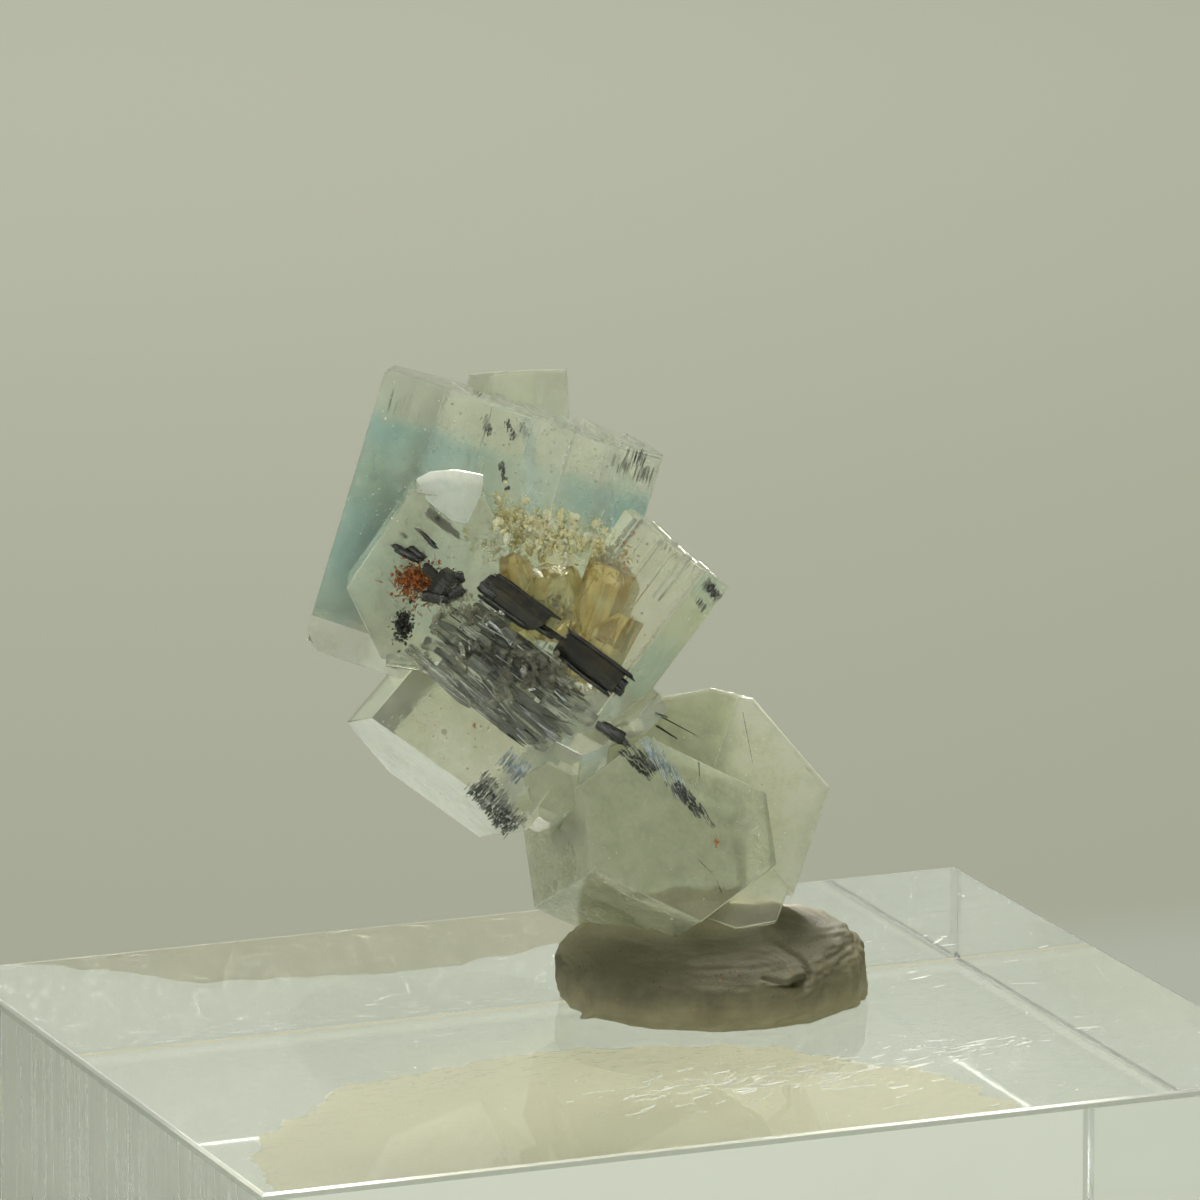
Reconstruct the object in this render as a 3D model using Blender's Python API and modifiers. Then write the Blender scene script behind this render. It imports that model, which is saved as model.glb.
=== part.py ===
"""Aquamarine specimen: intergrown beryl crystals with black schorl, smoky quartz and rust,
held by a wad of grey mineral tack on a clear acrylic block.

World frame in metres: origin under the middle of the block, +X along its long side,
+Y to the back, +Z up. The crystals are laid out in a display frame, an empty with X to the
right, Y away from the viewer and Z up, turned and tipped forward as the specimen was set.
"""
import math
import random
from collections import namedtuple

import bmesh
import bpy
from mathutils import Matrix, Vector, noise

MM = 0.001

# Acrylic block, millimetres
BLOCK_LENGTH = 50.0
BLOCK_DEPTH = 40.0
BLOCK_HEIGHT = 20.0
BLOCK_BEVEL = 0.25

# Wad of tack, millimetres, pressed down behind and to the right of the block's middle
WAD_CENTRE = (5.1, 2.55)
WAD_HALF_LENGTH = 6.95
WAD_HALF_DEPTH = 6.55
WAD_ABOVE_RIM = 2.3
WAD_BELOW_RIM = 1.2
WAD_BULGE = 2.1
WAD_BLUNTNESS = 0.6
WAD_PRESSED = 0.3
WAD_RIGHT_LIP = 0.3
WAD_TURN = -22.0

# How the specimen was set: the display frame's place, its turn and its forward lean
DISPLAY_PLACE = (5.0, 3.5, 22.6)
DISPLAY_YAW = -22.2
DISPLAY_LEAN = -13.1

# Clearance between neighbouring pieces, millimetres
GAP = 0.1

# Side of the rough cube that a crystal is cut from, millimetres
ROUGH = 60.0

# One crystal. The centre is in display millimetres. Lean turns the long axis to the right,
# tip brings its head towards the viewer and roll turns it about itself, in degrees. Sides
# holds the distances of the six prism faces, 60 degrees apart, then come the distances of
# the head and the foot. Each cut is one more face: azimuth, slope from the axis, distance.
Crystal = namedtuple("Crystal", "centre turn sides head foot cuts", defaults=((),))

# Big blue prism: growth steps that share an axis
BLUE_TURN = (16.9, 4.0, 10.0)
BLUE_CENTRE = (-9.7, 2.8, 17.4)
BLUE_PRISM = [
    Crystal(BLUE_CENTRE, BLUE_TURN, (5.6, 4.4, 6.0, 6.2, 4.4, 7.2), 6.55, 6.4,
            ((190, 130, 8.75), (310, 128, 8.9))),
    Crystal(BLUE_CENTRE, BLUE_TURN, (-1.2, 4.2, 5.85, 6.05, 4.25, 6.0), 6.75, 6.15),
    Crystal(BLUE_CENTRE, BLUE_TURN, (2.7, 4.0, 5.0, 2.3, 4.55, 5.8), 6.65, 5.8),
    Crystal(BLUE_CENTRE, BLUE_TURN, (5.7, 3.7, 3.0, -3.4, 4.0, 7.0), 6.7, 5.2),
    Crystal(BLUE_CENTRE, BLUE_TURN, (0.9, 4.55, 4.4, 0.4, 4.1, 4.7), 6.9, 4.2),
    Crystal((-8.1, 5.6, 22.4), (-3.0, 0.0, 25.0), (2.0, 1.9, 2.1, 2.0, 2.2, 1.9), 3.2, 4.0),
]

# Crystal on the right, with a stepped head
RIGHT_TURN = (36.8, 3.0, 20.0)
RIGHT_CENTRE = (-3.4, -1.8, 14.6)
RIGHT_PRISM = [
    Crystal(RIGHT_CENTRE, RIGHT_TURN, (2.6, 2.1, 2.7, 2.7, 2.0, 2.85), 3.75, 4.4),
    Crystal(RIGHT_CENTRE, RIGHT_TURN, (-0.6, 1.9, 2.5, 2.5, 2.15, 2.2), 3.9, 3.6),
    Crystal(RIGHT_CENTRE, RIGHT_TURN, (2.45, 2.25, 1.6, -1.2, 1.8, 2.7), 3.6, 3.2),
]

# Crystal at the lower left, its wide end face turned down
LOWER_PRISM = [
    Crystal((-9.6, 1.1, 10.0), (-140.0, 13.0, 50.0), (4.8, 3.9, 3.8, 6.6, 3.2, 4.2), 4.0, 4.5),
]

# Small rounded crystal below it
BUD = [
    Crystal((-6.8, -2.8, 6.35), (10.0, 78.0, 12.0), (1.25, 1.3, 1.2, 1.3, 1.25, 1.2), 1.4, 2.6,
            ((15, 40, 1.75), (195, 45, 1.6), (255, 40, 1.65), (75, 50, 1.7))),
]

# Plates at the lower right: one behind, one grown on its front
PLATES = [
    Crystal((0.7, 0.8, 5.6), (0.0, 84.0, 40.0), (4.5, 5.4, 5.6, 5.3, 5.5, 4.3), 1.7, 2.4,
            ((76, 90, 5.25), (250, 90, 4.8))),
    Crystal((0.9, 0.8, 5.6), (0.0, 84.0, 41.0), (4.3, 5.2, 0.9, 0.1, 5.6, 4.35), 2.35, 1.9,
            ((77, 90, 5.1), (252, 90, 4.9))),
]

# Crystal at the front foot, running back into the tack
FOOT_PRISM = [
    Crystal((-2.2, -0.7, 4.1), (54.9, 66.9, 61.3), (4.45, 3.35, 4.2, 4.3, 3.5, 3.95), 3.6, 4.7),
]

# Colourless crystal that points at the viewer
CLEAR_PRISM = [
    Crystal((-11.7, -1.9, 16.5), (0.0, 98.0, 26.0), (3.4, 3.7, 3.2, 4.0, 3.9, 3.4), 2.1, 3.0,
            ((146, 45, 4.25), (206, 50, 4.6))),
]

# Small plates where the two halves of the cluster meet
JOINT_PLATES = [
    Crystal((-3.3, -2.3, 10.0), (-29.0, 22.0, 10.0), (1.6, 1.5, 1.6, 1.8, 1.5, 1.6), 0.45, 0.5),
    Crystal((-5.4, -3.0, 8.5), (8.0, 52.0, 5.0), (1.2, 1.1, 1.3, 1.25, 1.2, 1.15), 1.3, 2.2),
]

# Splinters of the grey bundle: place along it, across it and in depth, half length,
# half width and how far each strays from the bundle's direction
BUNDLE_CENTRE = (-9.0, 11.6)
BUNDLE_LEAN = 128.5
SPLINTERS = [
    (0.3, -1.3, -3.7, 3.9, 0.50, 0.0),
    (0.5, -0.7, -4.1, 3.7, 0.55, 2.0),
    (0.0, -0.1, -3.9, 4.3, 0.55, -2.0),
    (0.4, 0.5, -4.4, 3.9, 0.50, 3.0),
    (0.1, 1.1, -3.9, 4.1, 0.60, -3.0),
    (-0.3, 1.6, -4.1, 3.3, 0.50, 1.0),
    (1.0, 2.0, -3.5, 2.9, 0.50, 4.0),
    (-3.3, -1.0, -4.0, 2.0, 0.45, -14.0),
    (-3.9, -1.9, -3.8, 1.4, 0.35, -24.0),
    (-2.9, 0.6, -4.3, 2.2, 0.50, 6.0),
    (0.2, -0.2, -3.1, 4.0, 1.30, 0.0),
]
SPLINTER_FLATNESS = 0.8

# Smoky quartz blocks
QUARTZ = [
    Crystal((-4.3, -2.9, 15.1), (20.0, 12.0, 15.0), (1.2, 1.3, 1.2, 1.1, 1.3, 1.2), 1.7, 1.9,
            ((15, 45, 1.7), (260, 50, 1.75))),
    Crystal((-6.4, -3.1, 15.2), (-15.0, 20.0, 40.0), (1.2, 1.1, 1.1, 1.2, 1.2, 1.0), 1.4, 1.6,
            ((40, 40, 1.5), (220, 50, 1.5))),
    Crystal((-8.3, -3.9, 16.4), (-6.0, 10.0, 5.0), (0.7, 0.65, 0.7, 0.7, 0.6, 0.7), 1.2, 1.2,
            ((5, 35, 0.75), (125, 40, 0.75), (245, 38, 0.75))),
    Crystal((-4.5, -3.0, 13.0), (28.0, 5.0, 25.0), (1.1, 1.0, 1.0, 1.1, 1.2, 1.1), 1.9, 1.7,
            ((205, 60, 1.3),)),
    Crystal((-7.4, -3.3, 14.4), (60.0, 15.0, 0.0), (0.9, 0.8, 0.9, 0.9, 0.8, 0.9), 1.5, 1.4),
]

# Granular crusts: centre, half spreads, number of grains, grain size and seed
YELLOW_CRUST = ((-6.9, -2.5, 18.0), (2.7, 0.7, 1.0), 26, 0.75, 5)
RUST_CRUST = ((-12.8, -3.9, 16.1), (0.8, 0.25, 0.8), 12, 0.5, 11)
BLACK_GRAINS = ((-13.3, -3.9, 13.9), (0.45, 0.3, 0.45), 9, 0.42, 3)

# Black schorl crystals
SCHORL = {
    "schorl_block": [
        Crystal((-11.5, -4.3, 15.75), (35.0, 20.0, 10.0), (0.6, 0.6, 0.55, 0.6, 0.6, 0.55), 0.75, 0.75,
                ((70, 45, 0.75), (250, 50, 0.75))),
        Crystal((-11.9, -4.4, 16.2), (-50.0, 10.0, 0.0), (0.35, 0.35, 0.4, 0.35, 0.35, 0.35), 0.6, 0.6),
    ],
    "schorl_stub_left": [
        Crystal((-13.0, -4.1, 17.3), (118.0, 20.0, 0.0), (0.35, 0.35, 0.3, 0.35, 0.35, 0.3), 0.8, 0.8),
        Crystal((-12.7, -4.2, 17.7), (135.0, 20.0, 20.0), (0.22, 0.25, 0.22, 0.25, 0.22, 0.25), 0.5, 0.8),
    ],
    "schorl_stub_top": [
        Crystal((-11.45, -4.0, 18.6), (125.0, 8.0, 0.0), (0.32, 0.35, 0.3, 0.32, 0.35, 0.3), 0.95, 0.95),
        Crystal((-10.7, -3.9, 18.15), (118.0, 8.0, 15.0), (0.22, 0.25, 0.25, 0.22, 0.25, 0.25), 0.9, 0.7),
    ],
    "schorl_blade_upper": [
        Crystal((-8.2, -4.8, 15.0), (126.0, 6.0, 0.0), (0.6, 0.45, 0.45, 0.6, 0.45, 0.45), 1.55, 1.6,
                ((0, 35, 1.35),)),
    ],
    "schorl_blade_lower": [
        Crystal((-4.9, -4.4, 12.3), (126.0, 4.0, 0.0), (0.55, 0.45, 0.45, 0.55, 0.45, 0.45), 1.55, 1.8,
                ((180, 145, 1.6),)),
    ],
    "schorl_chip": [
        Crystal((-4.0, -3.9, 9.2), (120.0, 10.0, 20.0), (0.4, 0.35, 0.4, 0.4, 0.35, 0.4), 0.6, 0.6),
    ],
}

# Colours, linear: base colour, roughness, transmission, refraction index
LOOKS = {
    "clear_acrylic": ((0.93, 0.95, 0.94), 0.05, 1.0, 1.49),
    "mineral_tack": ((0.36, 0.33, 0.29), 0.75, 0.0, 1.45),
    "aquamarine": ((0.62, 0.80, 0.80), 0.1, 0.8, 1.575),
    "grey_splinter": ((0.27, 0.29, 0.26), 0.25, 0.4, 1.6),
    "smoky_quartz": ((0.50, 0.42, 0.26), 0.15, 0.6, 1.55),
    "yellow_crust": ((0.70, 0.64, 0.36), 0.6, 0.0, 1.5),
    "iron_rust": ((0.38, 0.13, 0.03), 0.85, 0.0, 1.5),
    "schorl": ((0.015, 0.015, 0.013), 0.25, 0.0, 1.62),
}


def clear_scene():
    for thing in list(bpy.data.objects):
        bpy.data.objects.remove(thing, do_unlink=True)


def new_collection(name):
    group = bpy.data.collections.new(name)
    bpy.context.scene.collection.children.link(group)
    return group


def look(name):
    """The material of that name, made when first asked for."""
    found = bpy.data.materials.get(name)
    if found:
        return found
    colour, roughness, transmission, index = LOOKS[name]
    made = bpy.data.materials.new(name)
    made.use_nodes = True
    shader = made.node_tree.nodes["Principled BSDF"]
    shader.inputs["Base Color"].default_value = (*colour, 1.0)
    shader.inputs["Roughness"].default_value = roughness
    shader.inputs["Metallic"].default_value = 0.0
    shader.inputs["Transmission Weight"].default_value = transmission
    shader.inputs["IOR"].default_value = index
    return made


def slice_off(mesh, normal, distance):
    """Cut away what lies beyond a plane and close the cut with one face."""
    parts = mesh.verts[:] + mesh.edges[:] + mesh.faces[:]
    cut = bmesh.ops.bisect_plane(mesh, geom=parts, dist=1e-8, plane_co=normal * distance,
                                 plane_no=normal, clear_outer=True)
    rim = [item for item in cut["geom_cut"] if isinstance(item, bmesh.types.BMEdge)]
    if rim:
        bmesh.ops.contextual_create(mesh, geom=rim)


def face_normal(azimuth, slope):
    """Outward normal of a crystal face: slope 0 is the head, 90 a prism face, 180 the foot."""
    around = math.radians(azimuth)
    down = math.radians(slope)
    return Vector((math.sin(down) * math.cos(around), math.sin(down) * math.sin(around), math.cos(down)))


def crystal_object(name, crystal, grow, group, display):
    """A rough cube cut down to a crystal, every face moved outwards by grow millimetres."""
    roll = crystal.turn[2]
    faces = [(roll + 60 * step, 90, side) for step, side in enumerate(crystal.sides)]
    faces += [(0, 0, crystal.head), (0, 180, crystal.foot)]
    faces += list(crystal.cuts)
    mesh = bmesh.new()
    bmesh.ops.create_cube(mesh, size=ROUGH * MM)
    for azimuth, slope, distance in faces:
        slice_off(mesh, face_normal(azimuth, slope), (distance + grow) * MM)
    bmesh.ops.recalc_face_normals(mesh, faces=mesh.faces[:])
    data = bpy.data.meshes.new(name)
    mesh.to_mesh(data)
    mesh.free()
    thing = bpy.data.objects.new(name, data)
    group.objects.link(thing)
    lean, tip, _ = crystal.turn
    thing.parent = display
    thing.location = Vector(crystal.centre) * MM
    thing.rotation_mode = "ZXY"
    thing.rotation_euler = (math.radians(tip), math.radians(lean), 0.0)
    return thing


def hide_cutter(thing):
    thing.hide_render = True
    thing.display_type = "WIRE"


def boolean(target, operation, operands):
    step = target.modifiers.new(operation.lower(), "BOOLEAN")
    step.operation = operation
    step.solver = "EXACT"
    step.operand_type = "COLLECTION"
    step.collection = operands


def operand_group(name, crystals, grow, cutters, display):
    """A collection of hidden crystals that a Boolean takes as its operands."""
    group = bpy.data.collections.new(name)
    cutters.children.link(group)
    for number, crystal in enumerate(crystals):
        hide_cutter(crystal_object(f"{name}_{number}", crystal, grow, group, display))
    return group


def settle(thing):
    """Turn the modifiers' result into the object's own mesh and keep its largest body."""
    bpy.context.view_layer.update()
    result = thing.evaluated_get(bpy.context.evaluated_depsgraph_get())
    data = bpy.data.meshes.new_from_object(result)
    thing.modifiers.clear()
    mesh = bmesh.new()
    mesh.from_mesh(data)
    bmesh.ops.remove_doubles(mesh, verts=mesh.verts[:], dist=2e-6)
    left = set(mesh.verts)
    bodies = []
    while left:
        body = {left.pop()}
        front = list(body)
        while front:
            near = {edge.other_vert(vert) for vert in front for edge in vert.link_edges}
            front = list(near - body)
            body |= near
        left -= body
        bodies.append(body)
    bodies.sort(key=len)
    loose = [vert for body in bodies[:-1] for vert in body]
    bmesh.ops.delete(mesh, geom=loose, context="VERTS")
    mesh.to_mesh(data)
    mesh.free()
    thing.data = data


def grown_piece(name, crystals, material, kept_out, parts, cutters, display):
    """Crystals grown together as one solid, less the pockets of the pieces in kept_out."""
    thing = crystal_object(name, crystals[0], 0.0, parts, display)
    if len(crystals) > 1:
        boolean(thing, "UNION", operand_group(f"{name}_more", crystals[1:], 0.0, cutters, display))
    if kept_out:
        boolean(thing, "DIFFERENCE", operand_group(f"{name}_pocket", kept_out, GAP, cutters, display))
    settle(thing)
    thing.data.materials.clear()
    thing.data.materials.append(look(material))
    return thing


def splinter_crystals():
    """The bundle's splinters as long thin crystals laid side by side."""
    lean = math.radians(BUNDLE_LEAN)
    along = Vector((math.sin(lean), 0.0, math.cos(lean)))
    across = Vector((-math.cos(lean), 0.0, math.sin(lean)))
    middle = Vector((BUNDLE_CENTRE[0], 0.0, BUNDLE_CENTRE[1]))
    found = []
    for place, side, depth, half_length, half_width, stray in SPLINTERS:
        centre = middle + along * place + across * side + Vector((0.0, depth, 0.0))
        flat = half_width * SPLINTER_FLATNESS
        sides = (half_width, flat, flat * 0.9, half_width, flat, flat * 0.9)
        cuts = ((0, 40, half_length * 0.82), (180, 150, half_length * 0.9))
        turn = (BUNDLE_LEAN + stray, stray * 0.3, 0.0)
        found.append(Crystal(tuple(centre), turn, sides, half_length, half_length, cuts))
    return found


def crust_crystals(centre, spread, count, size, seed):
    """Grains scattered evenly through a flat oval, each a small blunt crystal."""
    pick = random.Random(seed)
    found = []
    for number in range(count):
        reach = math.sqrt((number + 0.5) / count)
        angle = number * math.radians(137.5)
        offset = (reach * math.cos(angle) * spread[0],
                  pick.uniform(-1, 1) * spread[1],
                  reach * math.sin(angle) * spread[2])
        place = tuple(middle + shift for middle, shift in zip(centre, offset))
        turn = (pick.uniform(0, 360), pick.uniform(-60, 60), pick.uniform(0, 60))
        sides = tuple(size * pick.uniform(0.6, 0.9) for _ in range(6))
        cuts = ((pick.uniform(0, 360), 50, size * 0.8), (pick.uniform(0, 360), 125, size * 0.8))
        found.append(Crystal(place, turn, sides, size * 0.8, size * 0.75, cuts))
    return found


def acrylic_block(parts):
    mesh = bmesh.new()
    bmesh.ops.create_cube(mesh, size=1.0)
    size = Vector((BLOCK_LENGTH, BLOCK_DEPTH, BLOCK_HEIGHT)) * MM
    bmesh.ops.scale(mesh, vec=size, verts=mesh.verts[:])
    data = bpy.data.meshes.new("acrylic_block")
    mesh.to_mesh(data)
    mesh.free()
    block = bpy.data.objects.new("acrylic_block", data)
    parts.objects.link(block)
    block.location.z = BLOCK_HEIGHT * MM / 2
    bevel = block.modifiers.new("edge", "BEVEL")
    bevel.width = BLOCK_BEVEL * MM
    bevel.segments = 2
    data.materials.append(look("clear_acrylic"))
    return block


def wad_point(unit):
    """A point of the wad from one of a unit sphere, in millimetres: its sides are blunt, its
    middle is pressed down where the crystals stand and its right lip is high."""
    x, y, z = unit
    flat = max(1e-6, math.hypot(x, y))
    reach = flat ** WAD_BLUNTNESS
    spread = reach / flat
    lump = noise.noise(Vector((x * 2.3, y * 2.3, z * 1.5 + 4.0)))
    swell = spread * (1.0 + 0.04 * lump)
    if z > 0:
        pressed = 1.0 - WAD_PRESSED * math.exp(-(reach / 0.6) ** 2)
        lip = 1.0 + WAD_RIGHT_LIP * max(0.0, x) * (0.6 + 0.4 * y)
        height = WAD_ABOVE_RIM * z ** WAD_BLUNTNESS * pressed * lip
    else:
        height = -WAD_BULGE * (-z) ** WAD_BLUNTNESS
    return Vector((x * WAD_HALF_LENGTH * swell, y * WAD_HALF_DEPTH * swell, height + 0.12 * lump))


def tack_wad(parts, cutters, display, kept_out):
    """A ball flattened by hand, with a flat underside and hollows where crystals stand."""
    mesh = bmesh.new()
    bmesh.ops.create_uvsphere(mesh, u_segments=56, v_segments=28, radius=1.0)
    for vert in mesh.verts:
        vert.co = wad_point(vert.co) * MM
    floor = -WAD_BELOW_RIM * MM
    below = bmesh.ops.bisect_plane(mesh, geom=mesh.verts[:] + mesh.edges[:] + mesh.faces[:], dist=1e-8,
                                   plane_co=(0, 0, floor), plane_no=(0, 0, -1), clear_outer=True)
    rim = [item for item in below["geom_cut"] if isinstance(item, bmesh.types.BMEdge)]
    bmesh.ops.contextual_create(mesh, geom=rim)
    bmesh.ops.recalc_face_normals(mesh, faces=mesh.faces[:])
    data = bpy.data.meshes.new("tack_wad")
    mesh.to_mesh(data)
    mesh.free()
    wad = bpy.data.objects.new("tack_wad", data)
    parts.objects.link(wad)
    wad.location = Vector((*WAD_CENTRE, BLOCK_HEIGHT + GAP)) * MM
    wad.location.z -= floor
    wad.rotation_euler.z = math.radians(WAD_TURN)
    boolean(wad, "DIFFERENCE", operand_group("tack_hollow", kept_out, GAP, cutters, display))
    settle(wad)
    wad.data.materials.clear()
    wad.data.materials.append(look("mineral_tack"))
    return wad


def main():
    clear_scene()
    parts = new_collection("aquamarine_specimen")
    cutters = new_collection("cutters")
    display = bpy.data.objects.new("display_frame", None)
    parts.objects.link(display)
    display.location = Vector(DISPLAY_PLACE) * MM
    turn = Matrix.Rotation(math.radians(DISPLAY_YAW), 3, "Z")
    lean = Matrix.Rotation(math.radians(DISPLAY_LEAN), 3, "X")
    display.rotation_euler = (turn @ lean).to_euler()

    acrylic_block(parts)
    beryl = (BLUE_PRISM + RIGHT_PRISM + LOWER_PRISM + BUD + PLATES + FOOT_PRISM + CLEAR_PRISM
             + JOINT_PLATES)
    tack_wad(parts, cutters, display, PLATES + FOOT_PRISM)

    # Each piece keeps out of the ones before it, and the beryl out of them all.
    inclusions = []
    for name, crystals in SCHORL.items():
        grown_piece(name, crystals, "schorl", [], parts, cutters, display)
        inclusions += crystals
    later = [
        ("schorl_grains", crust_crystals(*BLACK_GRAINS), "schorl"),
        ("splinter_bundle", splinter_crystals(), "grey_splinter"),
        ("smoky_quartz", QUARTZ, "smoky_quartz"),
        ("rust_crust", crust_crystals(*RUST_CRUST), "iron_rust"),
        ("yellow_crust", crust_crystals(*YELLOW_CRUST), "yellow_crust"),
    ]
    for name, crystals, material in later:
        grown_piece(name, crystals, material, list(inclusions), parts, cutters, display)
        inclusions += crystals
    grown_piece("aquamarine_cluster", beryl, "aquamarine", inclusions, parts, cutters, display)


main()
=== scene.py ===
"""Looks of an aquamarine specimen: intergrown beryl crystals with schorl, smoky quartz and crusts,
held by a wad of mineral tack on a clear acrylic block.

Lengths below are millimetres unless a name says otherwise. The display frame has X to the
right, Y away from the viewer and Z up, turned and tipped forward as the specimen was set.
"""
import math
import random
from collections import namedtuple

import bpy
from bpy.props import FloatProperty, FloatVectorProperty, IntProperty, PointerProperty
from mathutils import Euler, Matrix, Vector, noise


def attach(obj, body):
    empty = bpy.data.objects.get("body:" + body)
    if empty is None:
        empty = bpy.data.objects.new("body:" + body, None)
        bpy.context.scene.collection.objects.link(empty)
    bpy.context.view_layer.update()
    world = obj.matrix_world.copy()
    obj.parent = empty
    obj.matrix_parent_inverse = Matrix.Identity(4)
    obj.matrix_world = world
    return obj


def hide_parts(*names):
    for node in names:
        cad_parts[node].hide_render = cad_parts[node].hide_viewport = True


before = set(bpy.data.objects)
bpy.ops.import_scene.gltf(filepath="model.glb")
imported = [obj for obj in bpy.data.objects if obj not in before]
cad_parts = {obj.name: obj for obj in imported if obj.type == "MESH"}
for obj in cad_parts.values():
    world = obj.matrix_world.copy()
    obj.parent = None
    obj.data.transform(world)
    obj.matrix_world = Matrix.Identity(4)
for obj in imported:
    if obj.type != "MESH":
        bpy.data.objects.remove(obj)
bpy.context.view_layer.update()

bl_info = {
    "name": "Aquamarine specimen",
    "version": (1, 0, 0),
    "blender": (4, 5, 0),
    "location": "3D View > Sidebar > Specimen",
    "description": "Dresses the packed frame of an aquamarine specimen on its acrylic block",
    "category": "Object",
}

MM = 0.001
BODY = "root"

DISPLAY = (Matrix.Translation(Vector((5.0, 3.5, 22.6)) * MM)
           @ Matrix.Rotation(math.radians(-22.2), 4, "Z")
           @ Matrix.Rotation(math.radians(-13.1), 4, "X"))
ROUGH_CUBE = 40.0
FLOOR_DROP = -0.0004
SLICE_MARGIN = 1e-7

# One crystal: centre, turn as lean, tip and roll in degrees, the distances of its six prism
# faces, of its head and of its foot, and further cuts as azimuth, slope and distance.
Crystal = namedtuple("Crystal", "centre turn sides head foot cuts", defaults=((),))

BLUE_TURN = (16.9, 4.0, 10.0)
BLUE_CENTRE = (-9.7, 2.8, 17.4)
BLUE_PRISM = [
    Crystal(BLUE_CENTRE, BLUE_TURN, (5.6, 4.4, 6.0, 9.0, 4.4, 7.2), 6.55, 6.4,
            ((180, 90, 6.68), (190, 130, 8.95), (310, 128, 8.9))),
    Crystal(BLUE_CENTRE, BLUE_TURN, (-1.2, 4.2, 5.85, 9.0, 4.25, 6.0), 6.75, 6.15,
            ((180, 90, 6.52),)),
    Crystal(BLUE_CENTRE, BLUE_TURN, (2.7, 4.0, 5.0, 2.3, 4.55, 5.8), 6.65, 5.8),
    Crystal(BLUE_CENTRE, BLUE_TURN, (5.7, 3.7, 3.0, -3.4, 4.0, 7.0), 6.7, 5.2),
    Crystal(BLUE_CENTRE, BLUE_TURN, (0.9, 4.55, 4.4, 0.4, 4.1, 4.7), 6.9, 4.2),
    Crystal((-8.1, 5.6, 22.4), (-3.0, 0.0, 25.0), (2.0, 1.9, 2.1, 2.0, 2.2, 1.9), 3.2, 4.0),
]
BLUE_FOOT = [
    Crystal(BLUE_CENTRE, BLUE_TURN, (5.61, 4.41, 6.01, 9.0, 4.41, 7.21), -4.9, 6.41,
            ((180, 90, 6.69), (190, 130, 8.96), (310, 128, 8.91))),
]
RIGHT_TURN = (36.8, 3.0, 20.0)
RIGHT_CENTRE = (-3.4, -1.8, 14.6)
RIGHT_PRISM = [
    Crystal(RIGHT_CENTRE, RIGHT_TURN, (2.6, 2.1, 2.7, 2.7, 2.0, 2.85), 3.75, 4.4),
    Crystal(RIGHT_CENTRE, RIGHT_TURN, (-0.6, 1.9, 2.5, 2.5, 2.15, 2.2), 3.9, 3.6),
    Crystal(RIGHT_CENTRE, RIGHT_TURN, (2.45, 2.25, 1.6, -1.2, 1.8, 2.7), 3.6, 3.2),
]
LOWER_PRISM = [
    Crystal((-9.6, 1.1, 10.0), (-140.0, 13.0, 50.0), (4.8, 3.9, 3.8, 6.6, 3.2, 4.2), 3.99, 4.5),
]
LOWER_END = [
    Crystal((-9.6, 1.1, 10.0), (-140.0, 13.0, 50.0), (4.79, 3.89, 3.79, 6.59, 3.19, 4.19), 4.0, -3.8),
]
BUD = [
    Crystal((-6.8, -2.8, 6.35), (10.0, 78.0, 12.0), (1.25, 1.3, 1.2, 1.3, 1.25, 1.2), 1.4, 2.6,
            ((15, 40, 1.75), (195, 45, 1.6), (255, 40, 1.65), (75, 50, 1.7))),
]
PLATES = [
    Crystal((0.7, 0.8, 5.6), (0.0, 84.0, 40.0), (4.5, 5.4, 5.6, 5.3, 5.5, 4.3), 1.7, 2.4,
            ((76, 90, 5.25), (250, 90, 4.8))),
    Crystal((0.9, 0.8, 5.6), (0.0, 84.0, 41.0), (4.3, 5.2, 0.9, 0.1, 5.6, 4.35), 2.35, 1.9,
            ((77, 90, 5.1), (252, 90, 4.9))),
]
FOOT_PRISM = [
    Crystal((-2.2, -0.7, 4.1), (54.9, 66.9, 61.3), (4.45, 3.35, 4.2, 4.3, 3.5, 3.95), 3.6, 4.7),
]
CLEAR_PRISM = [
    Crystal((-11.7, -1.9, 16.5), (0.0, 98.0, 26.0), (3.4, 3.7, 3.2, 4.0, 3.9, 3.4), 2.1, 3.0,
            ((146, 45, 4.25), (206, 50, 4.6))),
]
WINDOW = [
    Crystal((-11.3, -4.45, 20.0), (0.0, 76.0, 0.0), (3.0,) * 6, 0.0, 3.6,
            ((120, 90, 1.25), (94, 90, 1.02), (79, 90, 1.09), (-3, 90, 1.49), (-25, 90, 1.36),
             (256, 90, 1.22), (230, 90, 0.92), (207, 90, 1.04))),
]
JOINT_PLATES = [
    Crystal((-3.3, -2.3, 10.0), (-29.0, 22.0, 10.0), (1.6, 1.5, 1.6, 1.8, 1.5, 1.6), 0.45, 0.5),
    Crystal((-5.4, -3.0, 8.5), (8.0, 52.0, 5.0), (1.2, 1.1, 1.3, 1.25, 1.2, 1.15), 1.3, 2.2),
]

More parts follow.
